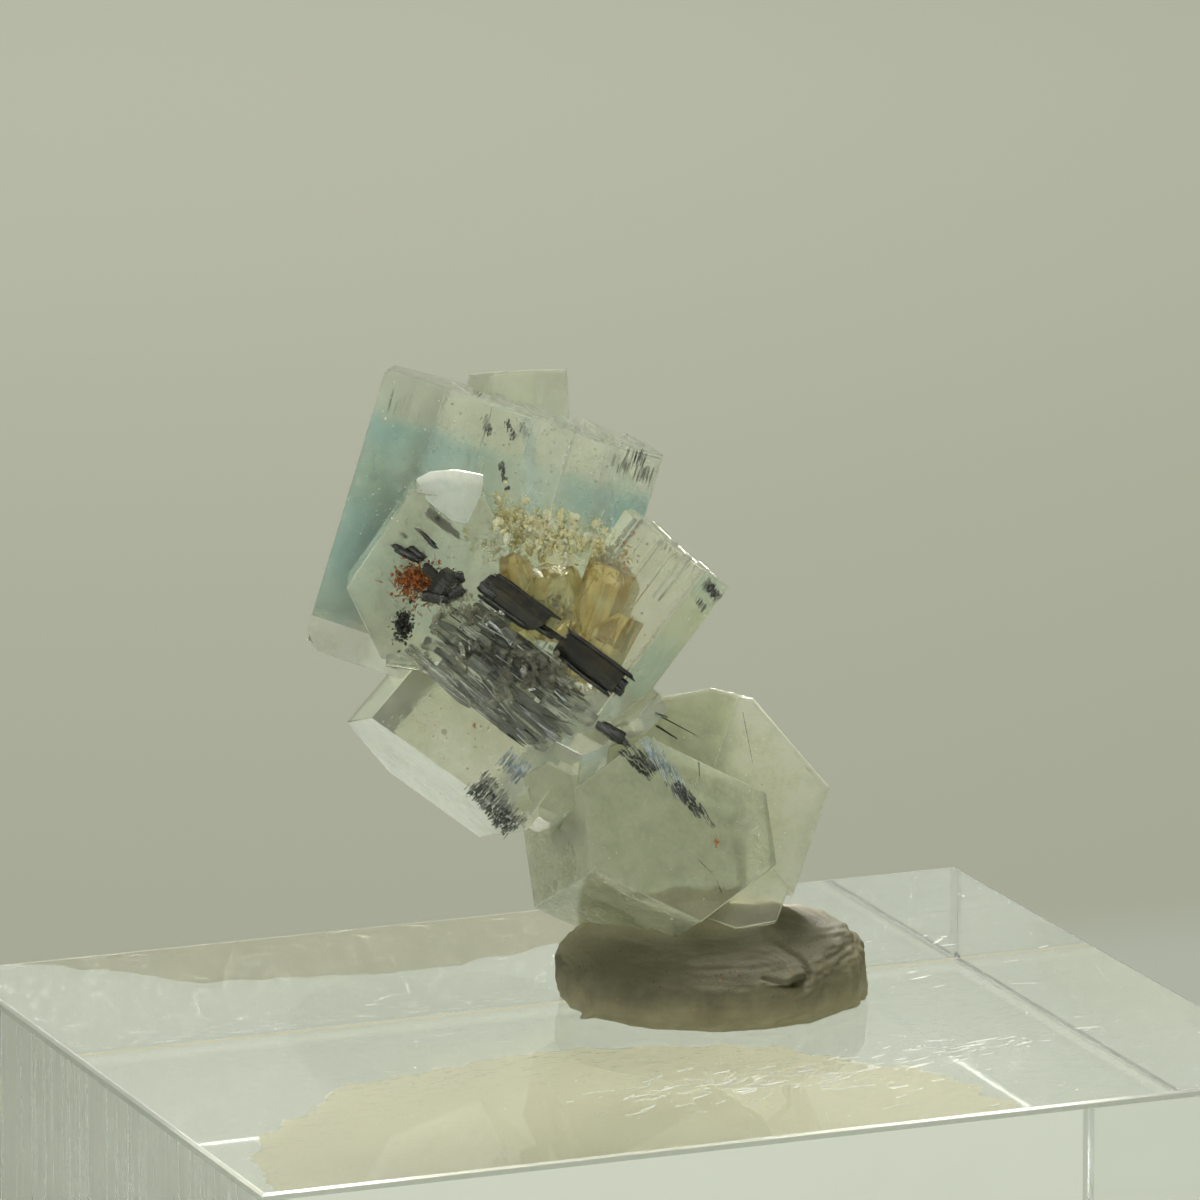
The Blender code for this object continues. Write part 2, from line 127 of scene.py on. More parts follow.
# Narrow growth steps on the heads of the blue and of the right crystal: place across the
# crystal, width, height of the head, distance of the front face and side pair (0, 1 or 2)
BLUE_STEPS = [
    (-5.2, 0.9, 6.62, 4.1, 0), (-4.1, 0.5, 6.48, 4.45, 0), (-3.0, 0.7, 6.82, 4.3, 0),
    (-2.1, 0.35, 6.7, 4.6, 0), (-1.2, 0.6, 6.95, 4.2, 0), (-0.4, 0.3, 6.8, 4.65, 0),
    (0.4, 0.5, 7.0, 4.4, 0), (1.3, 0.45, 6.85, 4.6, 0), (2.2, 0.7, 6.75, 4.35, 0),
    (3.3, 0.5, 6.85, 4.6, 0), (4.2, 0.6, 6.72, 4.5, 0), (5.0, 0.45, 6.78, 4.3, 0),
]
RIGHT_STEPS = [
    (-2.1, 0.4, 3.95, 2.2, 0), (-1.4, 0.25, 3.82, 2.3, 0), (-0.8, 0.35, 4.0, 2.15, 0),
    (-0.1, 0.3, 3.9, 2.3, 0), (0.6, 0.35, 3.85, 2.2, 0), (1.3, 0.3, 3.75, 2.35, 0),
    (2.0, 0.3, 3.8, 2.2, 0),
]

QUARTZ = [
    Crystal((-4.3, -2.9, 15.1), (20.0, 12.0, 40.0), (1.2, 1.3, 1.2, 1.1, 1.3, 1.2), 1.7, 1.9,
            ((15, 45, 1.7), (260, 50, 1.75))),
    Crystal((-6.4, -3.1, 15.2), (-15.0, 20.0, 40.0), (1.2, 1.1, 1.1, 1.2, 1.2, 1.0), 1.4, 1.6,
            ((40, 40, 1.5), (220, 50, 1.5))),
    Crystal((-8.3, -3.9, 16.4), (-6.0, 10.0, 5.0), (0.7, 0.65, 0.7, 0.7, 0.6, 0.7), 1.2, 1.2,
            ((5, 35, 0.75), (125, 40, 0.75), (245, 38, 0.75))),
    Crystal((-4.5, -3.0, 13.0), (28.0, 5.0, 25.0), (1.1, 1.0, 1.0, 1.1, 1.2, 1.1), 1.9, 1.7,
            ((205, 60, 1.3),)),
    Crystal((-7.4, -3.3, 14.4), (60.0, 15.0, 0.0), (0.9, 0.8, 0.9, 0.9, 0.8, 0.9), 1.5, 1.4),
]


class BerylSettings(bpy.types.PropertyGroup):
    """Sizes and colours of the beryl crystals."""

    edge: FloatProperty(name="Edge wear", description="Width of the worn crystal edges",
                        default=0.04 * MM, min=0.0, max=0.2 * MM, precision=5, unit="LENGTH")
    cap: FloatVectorProperty(name="Cap", description="Pale growth zone under the blue crystal's head",
                             default=(0.90, 0.94, 0.80), min=0.0, max=1.0, subtype="COLOR")
    blue: FloatVectorProperty(name="Blue", description="Body of the blue crystal",
                              default=(0.50, 0.72, 0.71), min=0.0, max=1.0, subtype="COLOR")
    deep_blue: FloatVectorProperty(name="Deep blue", description="Rim of the blue crystal",
                                   default=(0.50, 0.78, 0.80), min=0.0, max=1.0, subtype="COLOR")
    pale: FloatVectorProperty(name="Pale yellow-green", description="Foot of the blue crystal",
                              default=(0.99, 1.0, 0.82), min=0.0, max=1.0, subtype="COLOR")
    stain: FloatVectorProperty(name="Yellow stain", description="Round the crust on the blue crystal",
                               default=(0.99, 0.96, 0.60), min=0.0, max=1.0, subtype="COLOR")
    green: FloatVectorProperty(name="Pale green", description="Left plate and foot crystal",
                               default=(0.60, 0.63, 0.46), min=0.0, max=1.0, subtype="COLOR")
    green_light: FloatVectorProperty(name="Light green", description="Right plate",
                                     default=(0.97, 1.0, 0.80), min=0.0, max=1.0, subtype="COLOR")
    clear: FloatVectorProperty(name="Colourless", description="Crystal that points at the viewer",
                               default=(0.76, 0.78, 0.60), min=0.0, max=1.0, subtype="COLOR")


class InclusionSettings(bpy.types.PropertyGroup):
    """Colours and numbers of what grew on and in the beryl."""

    schorl: FloatVectorProperty(name="Schorl", description="Black tourmaline",
                                default=(0.012, 0.012, 0.011), min=0.0, max=1.0, subtype="COLOR")
    schorl_brown: FloatVectorProperty(name="Thin schorl", description="Where light comes through a blade",
                                      default=(0.075, 0.058, 0.024), min=0.0, max=1.0, subtype="COLOR")
    quartz: FloatVectorProperty(name="Smoky quartz", description="Yellow-brown blocks",
                                default=(0.78, 0.58, 0.24), min=0.0, max=1.0, subtype="COLOR")
    quartz_light: FloatVectorProperty(name="Light quartz", description="Pale clouds in the quartz",
                                      default=(0.93, 0.82, 0.48), min=0.0, max=1.0, subtype="COLOR")
    quartz_dark: FloatVectorProperty(name="Stained quartz", description="Stain in cracks of the quartz",
                                     default=(0.55, 0.30, 0.07), min=0.0, max=1.0, subtype="COLOR")
    crust: FloatVectorProperty(name="Yellow crust", description="Granular crust on the blue crystal",
                               default=(1.0, 1.0, 0.82), min=0.0, max=1.0, subtype="COLOR")
    rust: FloatVectorProperty(name="Rust", description="Iron stain",
                              default=(0.42, 0.13, 0.025), min=0.0, max=1.0, subtype="COLOR")
    grains: IntProperty(name="Crust grains", description="Grains in the yellow crust",
                        default=380, min=20, max=1500)
    fibres: IntProperty(name="Crust fibres", description="Short fibres in the yellow crust",
                        default=420, min=20, max=1500)
    rust_grains: IntProperty(name="Rust grains", description="Grains in the rust patch",
                             default=420, min=20, max=1500)
    splinters: IntProperty(name="Splinters", description="Thin splinters in the grey bundle",
                           default=60, min=10, max=400)
    # Half the streaks are near-white needles painted as highlight lines, half are dark threads.
    streaks: IntProperty(name="Streaks", description="Light and as many dark streaks over the bundle",
                         default=46, min=10, max=600)
    splinter: FloatVectorProperty(name="Splinter", description="Clear parts of the grey splinters",
                                  default=(0.97, 0.98, 0.88), min=0.0, max=1.0, subtype="COLOR")
    splinter_dark: FloatVectorProperty(name="Dark splinter", description="Threads in the grey splinters",
                                       default=(0.30, 0.32, 0.28), min=0.0, max=1.0, subtype="COLOR")


class TackSettings(bpy.types.PropertyGroup):
    """Size and colours of the wad of mineral tack."""

    half_length: FloatProperty(name="Half length", description="Half the wad's length",
                               default=6.95 * MM, min=3.0 * MM, max=9.0 * MM, precision=4, unit="LENGTH")
    half_depth: FloatProperty(name="Half depth", description="Half the wad's depth",
                              default=6.55 * MM, min=3.0 * MM, max=9.0 * MM, precision=4, unit="LENGTH")
    height: FloatProperty(name="Height", description="Height of the wad above its widest line",
                          default=2.3 * MM, min=1.0 * MM, max=5.0 * MM, precision=4, unit="LENGTH")
    tack: FloatVectorProperty(name="Tack", description="Kneaded tack",
                              default=(0.098, 0.09, 0.046), min=0.0, max=1.0, subtype="COLOR")
    # Painted light: the foot colour is a lit copy of the tack, laid low on the wad as bounce light off the block and on
    # upward faces at the back as top light.
    foot: FloatVectorProperty(name="Foot", description="Paler tack low on the wad",
                              default=(0.44, 0.395, 0.24), min=0.0, max=1.0, subtype="COLOR")
    dark: FloatVectorProperty(name="Dark specks", description="Dirt in the tack",
                              default=(0.025, 0.022, 0.016), min=0.0, max=1.0, subtype="COLOR")


class BlockSettings(bpy.types.PropertyGroup):
    """Size and finish of the acrylic block."""

    length: FloatProperty(name="Length", description="Long side of the block",
                          default=50.0 * MM, min=30.0 * MM, max=70.0 * MM, precision=4, unit="LENGTH")
    depth: FloatProperty(name="Depth", description="Short side of the block",
                         default=40.0 * MM, min=30.0 * MM, max=70.0 * MM, precision=4, unit="LENGTH")
    height: FloatProperty(name="Height", description="Height of the block",
                          default=20.0 * MM, min=10.0 * MM, max=30.0 * MM, precision=4, unit="LENGTH")
    edge: FloatProperty(name="Bevel", description="Width of the polished bevels",
                        default=0.25 * MM, min=0.05 * MM, max=1.0 * MM, precision=5, unit="LENGTH")
    tint: FloatVectorProperty(name="Acrylic", description="Tint of the acrylic",
                              default=(0.955, 0.965, 0.95), min=0.0, max=1.0, subtype="COLOR")
    film_radius: FloatProperty(name="Film radius", description="Size of the old film under the block",
                               default=16.8 * MM, min=5.0 * MM, max=18.0 * MM, precision=4, unit="LENGTH")
    film: FloatVectorProperty(name="Old film", description="Film of old tack under the block",
                              default=(1.0, 0.97, 0.82), min=0.0, max=1.0, subtype="COLOR")


class StageSettings(bpy.types.PropertyGroup):
    """Colours and lights of the stage."""

    pale: FloatVectorProperty(name="Pale floor", description="Floor round the block",
                              default=(0.275, 0.298, 0.247), min=0.0, max=1.0, subtype="COLOR")
    sage: FloatVectorProperty(name="Sage floor", description="Floor further away",
                              default=(0.233, 0.249, 0.187), min=0.0, max=1.0, subtype="COLOR")
    far: FloatVectorProperty(name="Far floor", description="Floor in the distance",
                             default=(0.287, 0.302, 0.243), min=0.0, max=1.0, subtype="COLOR")
    key: FloatProperty(name="Key light", description="Power of the softbox above", default=3.0,
                       min=0.0, max=50.0, unit="POWER")
    fill: FloatProperty(name="Fill light", description="Power of the lamp at the left", default=0.3,
                        min=0.0, max=50.0, unit="POWER")
    card: FloatProperty(name="Reflector", description="Power of the light off a low card", default=0.3,
                        min=0.0, max=50.0, unit="POWER")
    glint: FloatProperty(name="Glint light", description="Power of the small lamp behind", default=1.6,
                         min=0.0, max=50.0, unit="POWER")


SETTINGS = {
    "specimen_beryl": BerylSettings,
    "specimen_inclusions": InclusionSettings,
    "specimen_tack": TackSettings,
    "specimen_block": BlockSettings,
    "specimen_stage": StageSettings,
}


def display_point(x, y, z):
    return DISPLAY @ (Vector((x, y, z)) * MM)


def display_turn(lean, tip, roll=0.0):
    """World rotation of an axis that leans right, tips to the viewer and rolls about itself."""
    turn = Euler((math.radians(tip), math.radians(lean), 0.0), "ZXY").to_matrix()
    return DISPLAY.to_3x3() @ turn @ Matrix.Rotation(math.radians(roll), 3, "Z")


def crystal_frame(crystal):
    lean, tip, _ = crystal.turn
    place = display_turn(lean, tip).to_4x4()
    place.translation = display_point(*crystal.centre)
    return place


def deselect():
    bpy.ops.object.select_all(action="DESELECT")


def only(thing):
    """Make thing the one selected object."""
    deselect()
    thing.select_set(True)
    bpy.context.view_layer.objects.active = thing


def enter_edit(thing, mode="VERT"):
    only(thing)
    bpy.ops.object.mode_set(mode="EDIT")
    bpy.ops.mesh.select_mode(type=mode)


def leave_edit():
    bpy.ops.object.mode_set(mode="OBJECT")


def select_verts(thing, wanted):
    """Enter edit mode with the vertices selected whose place is wanted."""
    enter_edit(thing)
    bpy.ops.mesh.select_all(action="DESELECT")
    leave_edit()
    for vert in thing.data.vertices:
        vert.select = wanted(vert.co)
    bpy.ops.object.mode_set(mode="EDIT")


def put_in_place(thing, name):
    """Name the piece and move its place and turn into its mesh."""
    only(thing)
    bpy.ops.object.transform_apply(location=True, rotation=True, scale=True)
    thing.name = name
    thing.data.name = name
    return thing


def finish_piece(thing, name, material, nodes=()):
    """Give the piece its material and its body, and hide the CAD nodes that it stands for."""
    put_in_place(thing, name)
    if material:
        thing.data.materials.clear()
        thing.data.materials.append(material)
    if nodes:
        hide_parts(*nodes)
    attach(thing, BODY)
    return thing


def face_direction(azimuth, slope):
    around = math.radians(azimuth)
    down = math.radians(slope)
    return Vector((math.sin(down) * math.cos(around), math.sin(down) * math.sin(around), math.cos(down)))


def cut_crystal(crystal, edge=0.0):
    """A rough cube bisected face by face, its edges worn by a narrow bevel."""
    place = crystal_frame(crystal)
    turn = place.to_3x3()
    faces = [(crystal.turn[2] + 60 * step, 90, side) for step, side in enumerate(crystal.sides)]
    faces += [(0, 0, crystal.head), (0, 180, crystal.foot)]
    faces += list(crystal.cuts)
    deselect()
    bpy.ops.mesh.primitive_cube_add(size=ROUGH_CUBE * MM, location=place.translation,
                                    rotation=turn.to_euler())
    thing = bpy.context.object
    enter_edit(thing, "FACE")
    for azimuth, slope, distance in faces:
        normal = turn @ face_direction(azimuth, slope)
        bpy.ops.mesh.select_all(action="SELECT")
        bpy.ops.mesh.bisect(plane_co=place.translation + normal * distance * MM, plane_no=normal,
                            use_fill=True, clear_outer=True, threshold=SLICE_MARGIN)
    bpy.ops.mesh.select_all(action="SELECT")
    bpy.ops.mesh.remove_doubles(threshold=1e-6)
    if edge > 0.0:
        bpy.ops.mesh.bevel(offset=edge, segments=1, affect="EDGES")
    leave_edit()
    return thing


def join(things):
    """Join the objects into the first one and return it."""
    deselect()
    for thing in things:
        thing.select_set(True)
    bpy.context.view_layer.objects.active = things[0]
    bpy.ops.object.join()
    return things[0]


def remove(things):
    deselect()
    for thing in things:
        thing.select_set(True)
    bpy.ops.object.delete()


def union(things):
    """Grow the crystals together: one closed skin without walls inside."""
    group = bpy.data.collections.new("grown_together")
    bpy.context.scene.collection.children.link(group)
    for thing in things[1:]:
        group.objects.link(thing)
    only(things[0])
    bpy.ops.object.modifier_add(type="BOOLEAN")
    step = things[0].modifiers[-1]
    step.operation = "UNION"
    step.solver = "EXACT"
    step.material_mode = "TRANSFER"
    step.operand_type = "COLLECTION"
    step.collection = group
    bpy.ops.object.modifier_apply(modifier=step.name)
    remove(things[1:])
    bpy.data.collections.remove(group)
    return things[0]


def copies(master, places):
    """Copies of master, each with its own mesh, put at the places and joined."""
    twins = []
    for place in places:
        twin = master.copy()
        twin.data = master.data.copy()
        bpy.context.scene.collection.objects.link(twin)
        twin.matrix_world = place
        twins.append(twin)
    remove([master])
    return join(twins)


def place_matrix(centre, turn, scale):
    """World matrix from a display point, a world rotation and a scale in millimetres."""
    made = turn.to_4x4() @ Matrix.Diagonal((scale[0] * MM, scale[1] * MM, scale[2] * MM, 1.0))
    made.translation = display_point(*centre)
    return made


def rough_up(thing, amount, scale, seed):
    """Move the vertices by smooth noise, in metres at scale cells per metre."""
    shift = Vector((seed * 7.3, seed * 3.1, seed * 5.7))
    for vert in thing.data.vertices:
        vert.co += noise.noise_vector(vert.co * scale + shift) * amount


# Nodes


class Nodes:
    """Adds nodes to a tree and wires them."""

    def __init__(self, tree):
        self.tree = tree

    def add(self, kind, inputs=None, **settings):
        node = self.tree.nodes.new(kind)
        for name, value in settings.items():
            setattr(node, name, value)
        for name, value in (inputs or {}).items():
            socket = node.inputs[name]
            if isinstance(value, bpy.types.NodeSocket):
                self.tree.links.new(value, socket)
            else:
                socket.default_value = value
        return node

    def math(self, operation, first, second=0.0):
        return self.add("ShaderNodeMath", {0: first, 1: second}, operation=operation).outputs[0]

    def ramp(self, value, low, high, start=0.0, end=1.0):
        node = self.add("ShaderNodeMapRange", {"Value": value, "From Min": low, "From Max": high,
                                               "To Min": start, "To Max": end},
                        interpolation_type="SMOOTHSTEP")
        return node.outputs["Result"]

    def blend(self, factor, first, second):
        node = self.add("ShaderNodeMix", {0: factor, 6: first, 7: second}, data_type="RGBA")
        return node.outputs[2]

    def noise(self, vector, scale, detail=3.0, roughness=0.55):
        node = self.add("ShaderNodeTexNoise", {"Vector": vector, "Scale": scale, "Detail": detail,
                                               "Roughness": roughness})
        return node.outputs["Fac"]

    def mapping(self, vector, location=(0, 0, 0), rotation=(0, 0, 0), scale=(1, 1, 1)):
        node = self.add("ShaderNodeMapping", {"Vector": vector, "Location": location,
                                              "Rotation": rotation, "Scale": scale})
        return node.outputs[0]

    def bump(self, height, strength, distance, normal=None):
        inputs = {"Height": height, "Strength": strength, "Distance": distance}
        if normal:
            inputs["Normal"] = normal
        return self.add("ShaderNodeBump", inputs).outputs[0]


def new_group(name, inputs, outputs):
    """An empty shader node group with those sockets."""
    group = bpy.data.node_groups.new(name, "ShaderNodeTree")
    for label, kind, value in inputs:
        socket = group.interface.new_socket(name=label, in_out="INPUT", socket_type=kind)
        if value is not None:
            socket.default_value = value
    for label, kind in outputs:
        group.interface.new_socket(name=label, in_out="OUTPUT", socket_type=kind)
    nodes = Nodes(group)
    return group, nodes, nodes.add("NodeGroupInput").outputs, nodes.add("NodeGroupOutput").inputs


def growth_lines():
    """Group: fine lines along the crystal's axis, with flat steps between them."""
    found = bpy.data.node_groups.get("Growth lines")
    if found:
        return found
    group, nodes, given, out = new_group(
        "Growth lines",
        [("Vector", "NodeSocketVector", None), ("Fineness", "NodeSocketFloat", 3.0),
         ("Stretch", "NodeSocketFloat", 0.06)],
        [("Lines", "NodeSocketFloat"), ("Steps", "NodeSocketFloat")])
    along = nodes.add("ShaderNodeCombineXYZ", {"X": 1.0, "Y": 1.0, "Z": given["Stretch"]}).outputs[0]
    drawn = nodes.add("ShaderNodeVectorMath", {0: given["Vector"], 1: along}, operation="MULTIPLY").outputs[0]
    fine = nodes.noise(drawn, given["Fineness"], 4.0, 0.6)
    broad = nodes.noise(drawn, nodes.math("MULTIPLY", given["Fineness"], 0.3), 1.0, 0.5)
    steps = nodes.math("SNAP", broad, 0.09)
    nodes.tree.links.new(fine, out["Lines"])
    nodes.tree.links.new(steps, out["Steps"])
    return group


def cloud():
    """Group: soft clouds with finer wisps, from 0 to 1."""
    found = bpy.data.node_groups.get("Cloud")
    if found:
        return found
    group, nodes, given, out = new_group(
        "Cloud",
        [("Vector", "NodeSocketVector", None), ("Size", "NodeSocketFloat", 0.4)],
        [("Cloud", "NodeSocketFloat"), ("Wisps", "NodeSocketFloat")])
    scale = nodes.math("DIVIDE", 1.0, given["Size"])
    soft = nodes.ramp(nodes.noise(given["Vector"], scale, 4.0, 0.6), 0.35, 0.65)
    warped = nodes.add("ShaderNodeTexNoise", {"Vector": given["Vector"], "Scale": scale, "Detail": 5.0,
                                              "Distortion": 2.0})
    wisps = nodes.ramp(warped.outputs["Fac"], 0.56, 0.68)
    nodes.tree.links.new(soft, out["Cloud"])
    nodes.tree.links.new(wisps, out["Wisps"])
    return group


def flecks():
    """Group: small round dots, their number set by Density from 0 to 1."""
    found = bpy.data.node_groups.get("Flecks")
    if found:
        return found
    group, nodes, given, out = new_group(
        "Flecks",
        [("Vector", "NodeSocketVector", None), ("Scale", "NodeSocketFloat", 2.0),
         ("Density", "NodeSocketFloat", 0.3), ("Radius", "NodeSocketFloat", 0.2)],
        [("Mask", "NodeSocketFloat")])
    cells = nodes.add("ShaderNodeTexVoronoi", {"Vector": given["Vector"], "Scale": given["Scale"]})
    chance = nodes.add("ShaderNodeSeparateColor", {"Color": cells.outputs["Color"]}).outputs["Red"]
    kept = nodes.math("LESS_THAN", chance, given["Density"])
    wobble = nodes.math("MULTIPLY", nodes.noise(given["Vector"], 9.0), 0.15)
    near = nodes.math("LESS_THAN", nodes.math("ADD", cells.outputs["Distance"], wobble), given["Radius"])
    nodes.tree.links.new(nodes.math("MULTIPLY", kept, near), out["Mask"])
    return group


def new_material(name, transmission=0.0, ior=1.5, roughness=0.3):
    """A Principled material and the helper for its nodes."""
    made = bpy.data.materials.new(name)
    made.use_nodes = True
    shader = made.node_tree.nodes["Principled BSDF"]
    shader.inputs["Transmission Weight"].default_value = transmission
    shader.inputs["IOR"].default_value = ior
    shader.inputs["Roughness"].default_value = roughness
    return made, shader, Nodes(made.node_tree)


def object_millimetres(nodes):
    """Object coordinates in millimetres."""
    coords = nodes.add("ShaderNodeTexCoord").outputs["Object"]
    return nodes.mapping(coords, scale=(1000, 1000, 1000))


def crystal_millimetres(nodes, crystal):
    """Coordinates along and across the crystal, in millimetres from its centre."""
    place = crystal_frame(crystal)
    back = place.to_3x3().transposed()
    shift = back @ place.translation * -1000
    coords = nodes.add("ShaderNodeTexCoord").outputs["Object"]
    return nodes.mapping(coords, tuple(shift), tuple(back.to_euler()), (1000, 1000, 1000))


def rgb(colour):
    return (*colour, 1.0)


def beryl_material(name, crystal, colour, transmission, haze, zones=None):
    """Beryl seen through: colour zones, clouds, growth lines and small scars on its faces."""
    made, shader, nodes = new_material(name, transmission, 1.575)
    place = crystal_millimetres(nodes, crystal)
    clouds = nodes.add("ShaderNodeGroup", {"Vector": place, "Size": 2.2}, node_tree=cloud())
    fine = nodes.add("ShaderNodeGroup", {"Vector": place, "Size": 0.5}, node_tree=cloud())
    lines = nodes.add("ShaderNodeGroup", {"Vector": place, "Fineness": 3.4, "Stretch": 0.07},
                      node_tree=growth_lines())
    scars = nodes.add("ShaderNodeGroup", {"Vector": place, "Scale": 1.3, "Density": 0.2, "Radius": 0.16},
                      node_tree=flecks())
    tint = zones(nodes, place, lines) if zones else rgb(colour)
    light = nodes.add("ShaderNodeMix", {0: 0.55, 6: tint, 7: (0.95, 0.97, 0.84, 1.0)}, data_type="RGBA").outputs[2]
    milky = nodes.blend(nodes.math("MULTIPLY", clouds.outputs["Cloud"], haze), tint, light)
    milky = nodes.blend(nodes.math("MULTIPLY", fine.outputs["Wisps"], haze), milky, light)
    shade = nodes.ramp(nodes.noise(place, 1.1, 8.0, 0.7), 0.3, 0.6, 0.84, 1.04)
    milky = nodes.add("ShaderNodeVectorMath", {0: milky, "Scale": shade}, operation="SCALE").outputs[0]
    nodes.tree.links.new(milky, shader.inputs["Base Color"])
    matt = nodes.math("ADD", nodes.ramp(clouds.outputs["Cloud"], 0.2, 0.9, 0.04, 0.24),
                      nodes.math("MULTIPLY", scars.outputs["Mask"], 0.25))
    nodes.tree.links.new(matt, shader.inputs["Roughness"])
    shader.inputs["Subsurface Weight"].default_value = 1.0
    shader.inputs["Subsurface Scale"].default_value = 3.0 * MM
    shader.inputs["Subsurface Radius"].default_value = (1.0, 1.0, 0.9)
    shader.inputs["Coat Weight"].default_value = 0.35
    shader.inputs["Coat Roughness"].default_value = 0.06
    height = nodes.math("ADD", nodes.math("MULTIPLY", lines.outputs["Lines"], 0.45),
                        nodes.math("MULTIPLY", lines.outputs["Steps"], 0.08))
    height = nodes.math("ADD", height, nodes.math("MULTIPLY", fine.outputs["Cloud"], 0.4))
    height = nodes.math("SUBTRACT", height, nodes.math("MULTIPLY", scars.outputs["Mask"], 0.5))
    nodes.tree.links.new(nodes.bump(height, 0.3, 0.05 * MM), shader.inputs["Normal"])
    return made


def fade(axis, low, high, first, second):
    """Zones that change from one colour to another along an axis of the crystal."""
    def zones(nodes, place, lines):
        axes = nodes.add("ShaderNodeSeparateXYZ", {"Vector": place}).outputs
        drift = nodes.math("MULTIPLY", nodes.math("SUBTRACT", nodes.noise(place, 0.5, 5.0), 0.5), 2.4)
        return nodes.blend(nodes.ramp(nodes.math("ADD", axes[axis], drift), low, high), rgb(first), rgb(second))
    return zones


def blue_zones(settings):
    """Zones of the big crystal: pale cap, blue body, deep blue rim, yellow stain and pale foot."""
    def zones(nodes, place, lines):
        axes = nodes.add("ShaderNodeSeparateXYZ", {"Vector": place}).outputs
        drift = nodes.math("MULTIPLY", nodes.math("SUBTRACT", nodes.noise(place, 0.6, 4.0), 0.5), 1.6)
        along = nodes.math("ADD", axes["Z"], drift)
        across = nodes.math("ADD", axes["X"], nodes.math("MULTIPLY", drift, 0.4))
        body = nodes.blend(nodes.ramp(along, -5.6, -3.2), rgb(settings.pale), rgb(settings.blue))
        middle = nodes.math("MULTIPLY", nodes.ramp(across, -3.0, 0.5), nodes.ramp(across, 4.5, 2.0))
        body = nodes.blend(nodes.math("MULTIPLY", middle, 0.55), body, rgb(settings.pale))
        under_cap = nodes.math("MULTIPLY", nodes.ramp(along, 1.0, 4.2), nodes.ramp(across, 2.0, -4.5))
        body = nodes.blend(nodes.math("MULTIPLY", under_cap, 0.5), body, rgb(settings.deep_blue))
        stain = nodes.mapping(place, (-1.4, 0.0, -0.6), scale=(0.3, 0.0, 0.55))
        stain = nodes.add("ShaderNodeVectorMath", {0: stain}, operation="LENGTH").outputs["Value"]
        stain = nodes.ramp(nodes.math("ADD", stain, nodes.math("MULTIPLY", drift, 0.5)), 1.1, 0.5)
        body = nodes.blend(stain, body, rgb(settings.stain))
        rim = nodes.math("MULTIPLY", nodes.ramp(across, -4.2, -5.5), nodes.ramp(along, -5.4, -4.6))
        body = nodes.blend(nodes.math("MULTIPLY", rim, 0.95), body, rgb(settings.deep_blue))
        crisp = nodes.math("ADD", axes["Z"], nodes.math("MULTIPLY", lines.outputs["Steps"], 0.9))
        return nodes.blend(nodes.ramp(crisp, 4.6, 5.4), body, rgb(settings.cap))
    return zones


def schorl_material(settings, name="schorl", brown=0.35, axis=(0.783, 0.0, -0.623)):
    """Black tourmaline: brown where thin, striated along its length, with broken glossy ends."""
    made, shader, nodes = new_material(name, 0.05, 1.6)
    turn = (DISPLAY.to_3x3() @ Vector(axis)).to_track_quat("Z", "Y").to_matrix().transposed()
    coords = nodes.add("ShaderNodeTexCoord").outputs["Object"]
    place = nodes.mapping(coords, (0, 0, 0), tuple(turn.to_euler()), (1000, 1000, 1000))
    lines = nodes.add("ShaderNodeGroup", {"Vector": place, "Fineness": 9.0, "Stretch": 0.08},
                      node_tree=growth_lines())
    clouds = nodes.add("ShaderNodeGroup", {"Vector": place, "Size": 0.7}, node_tree=cloud())
    thin = nodes.math("MULTIPLY", nodes.ramp(lines.outputs["Lines"], 0.48, 0.62), clouds.outputs["Cloud"])
    colour = nodes.blend(nodes.math("MULTIPLY", thin, brown), rgb(settings.schorl),
                         rgb(settings.schorl_brown))
    nodes.tree.links.new(colour, shader.inputs["Base Color"])
    nodes.tree.links.new(nodes.ramp(lines.outputs["Lines"], 0.35, 0.65, 0.12, 0.42),
                         shader.inputs["Roughness"])
    height = nodes.math("ADD", lines.outputs["Lines"], lines.outputs["Steps"])
    nodes.tree.links.new(nodes.bump(height, 0.8, 0.06 * MM), shader.inputs["Normal"])
    return made


def splinter_material(name, light, dark, share, transmission):
    """Grey glassy splinters with dark and bluish threads along them; share is how much is dark."""
    made, shader, nodes = new_material(name, transmission, 1.56)
    axis = DISPLAY.to_3x3() @ Vector((0.783, 0.0, -0.623))
    turn = axis.to_track_quat("Z", "Y").to_matrix().transposed()
    coords = nodes.add("ShaderNodeTexCoord").outputs["Object"]
    place = nodes.mapping(coords, (0, 0, 0), tuple(turn.to_euler()), (1000, 1000, 1000))
    lines = nodes.add("ShaderNodeGroup", {"Vector": place, "Fineness": 6.0, "Stretch": 0.05},
                      node_tree=growth_lines())
    bands = nodes.noise(nodes.mapping(place, scale=(1.0, 1.0, 0.25)), 1.3, 4.0, 0.6)
    threads = nodes.ramp(lines.outputs["Lines"], share, share + 0.12)
    patches = nodes.ramp(bands, share + 0.06, share - 0.06)
    colour = nodes.blend(nodes.math("MULTIPLY", threads, 0.8), rgb(light), rgb(dark))
    colour = nodes.blend(nodes.math("MULTIPLY", patches, 0.5), colour, rgb(dark))
    blue = nodes.ramp(nodes.noise(place, 0.8, 3.0), 0.55, 0.62)
    colour = nodes.blend(nodes.math("MULTIPLY", nodes.math("MULTIPLY", blue, threads), 0.7), colour,
                         (0.36, 0.44, 0.48, 1.0))
    nodes.tree.links.new(colour, shader.inputs["Base Color"])
    nodes.tree.links.new(nodes.ramp(lines.outputs["Lines"], 0.3, 0.7, 0.02, 0.15),
                         shader.inputs["Roughness"])
    nodes.tree.links.new(nodes.bump(lines.outputs["Lines"], 0.25, 0.05 * MM), shader.inputs["Normal"])
    return made


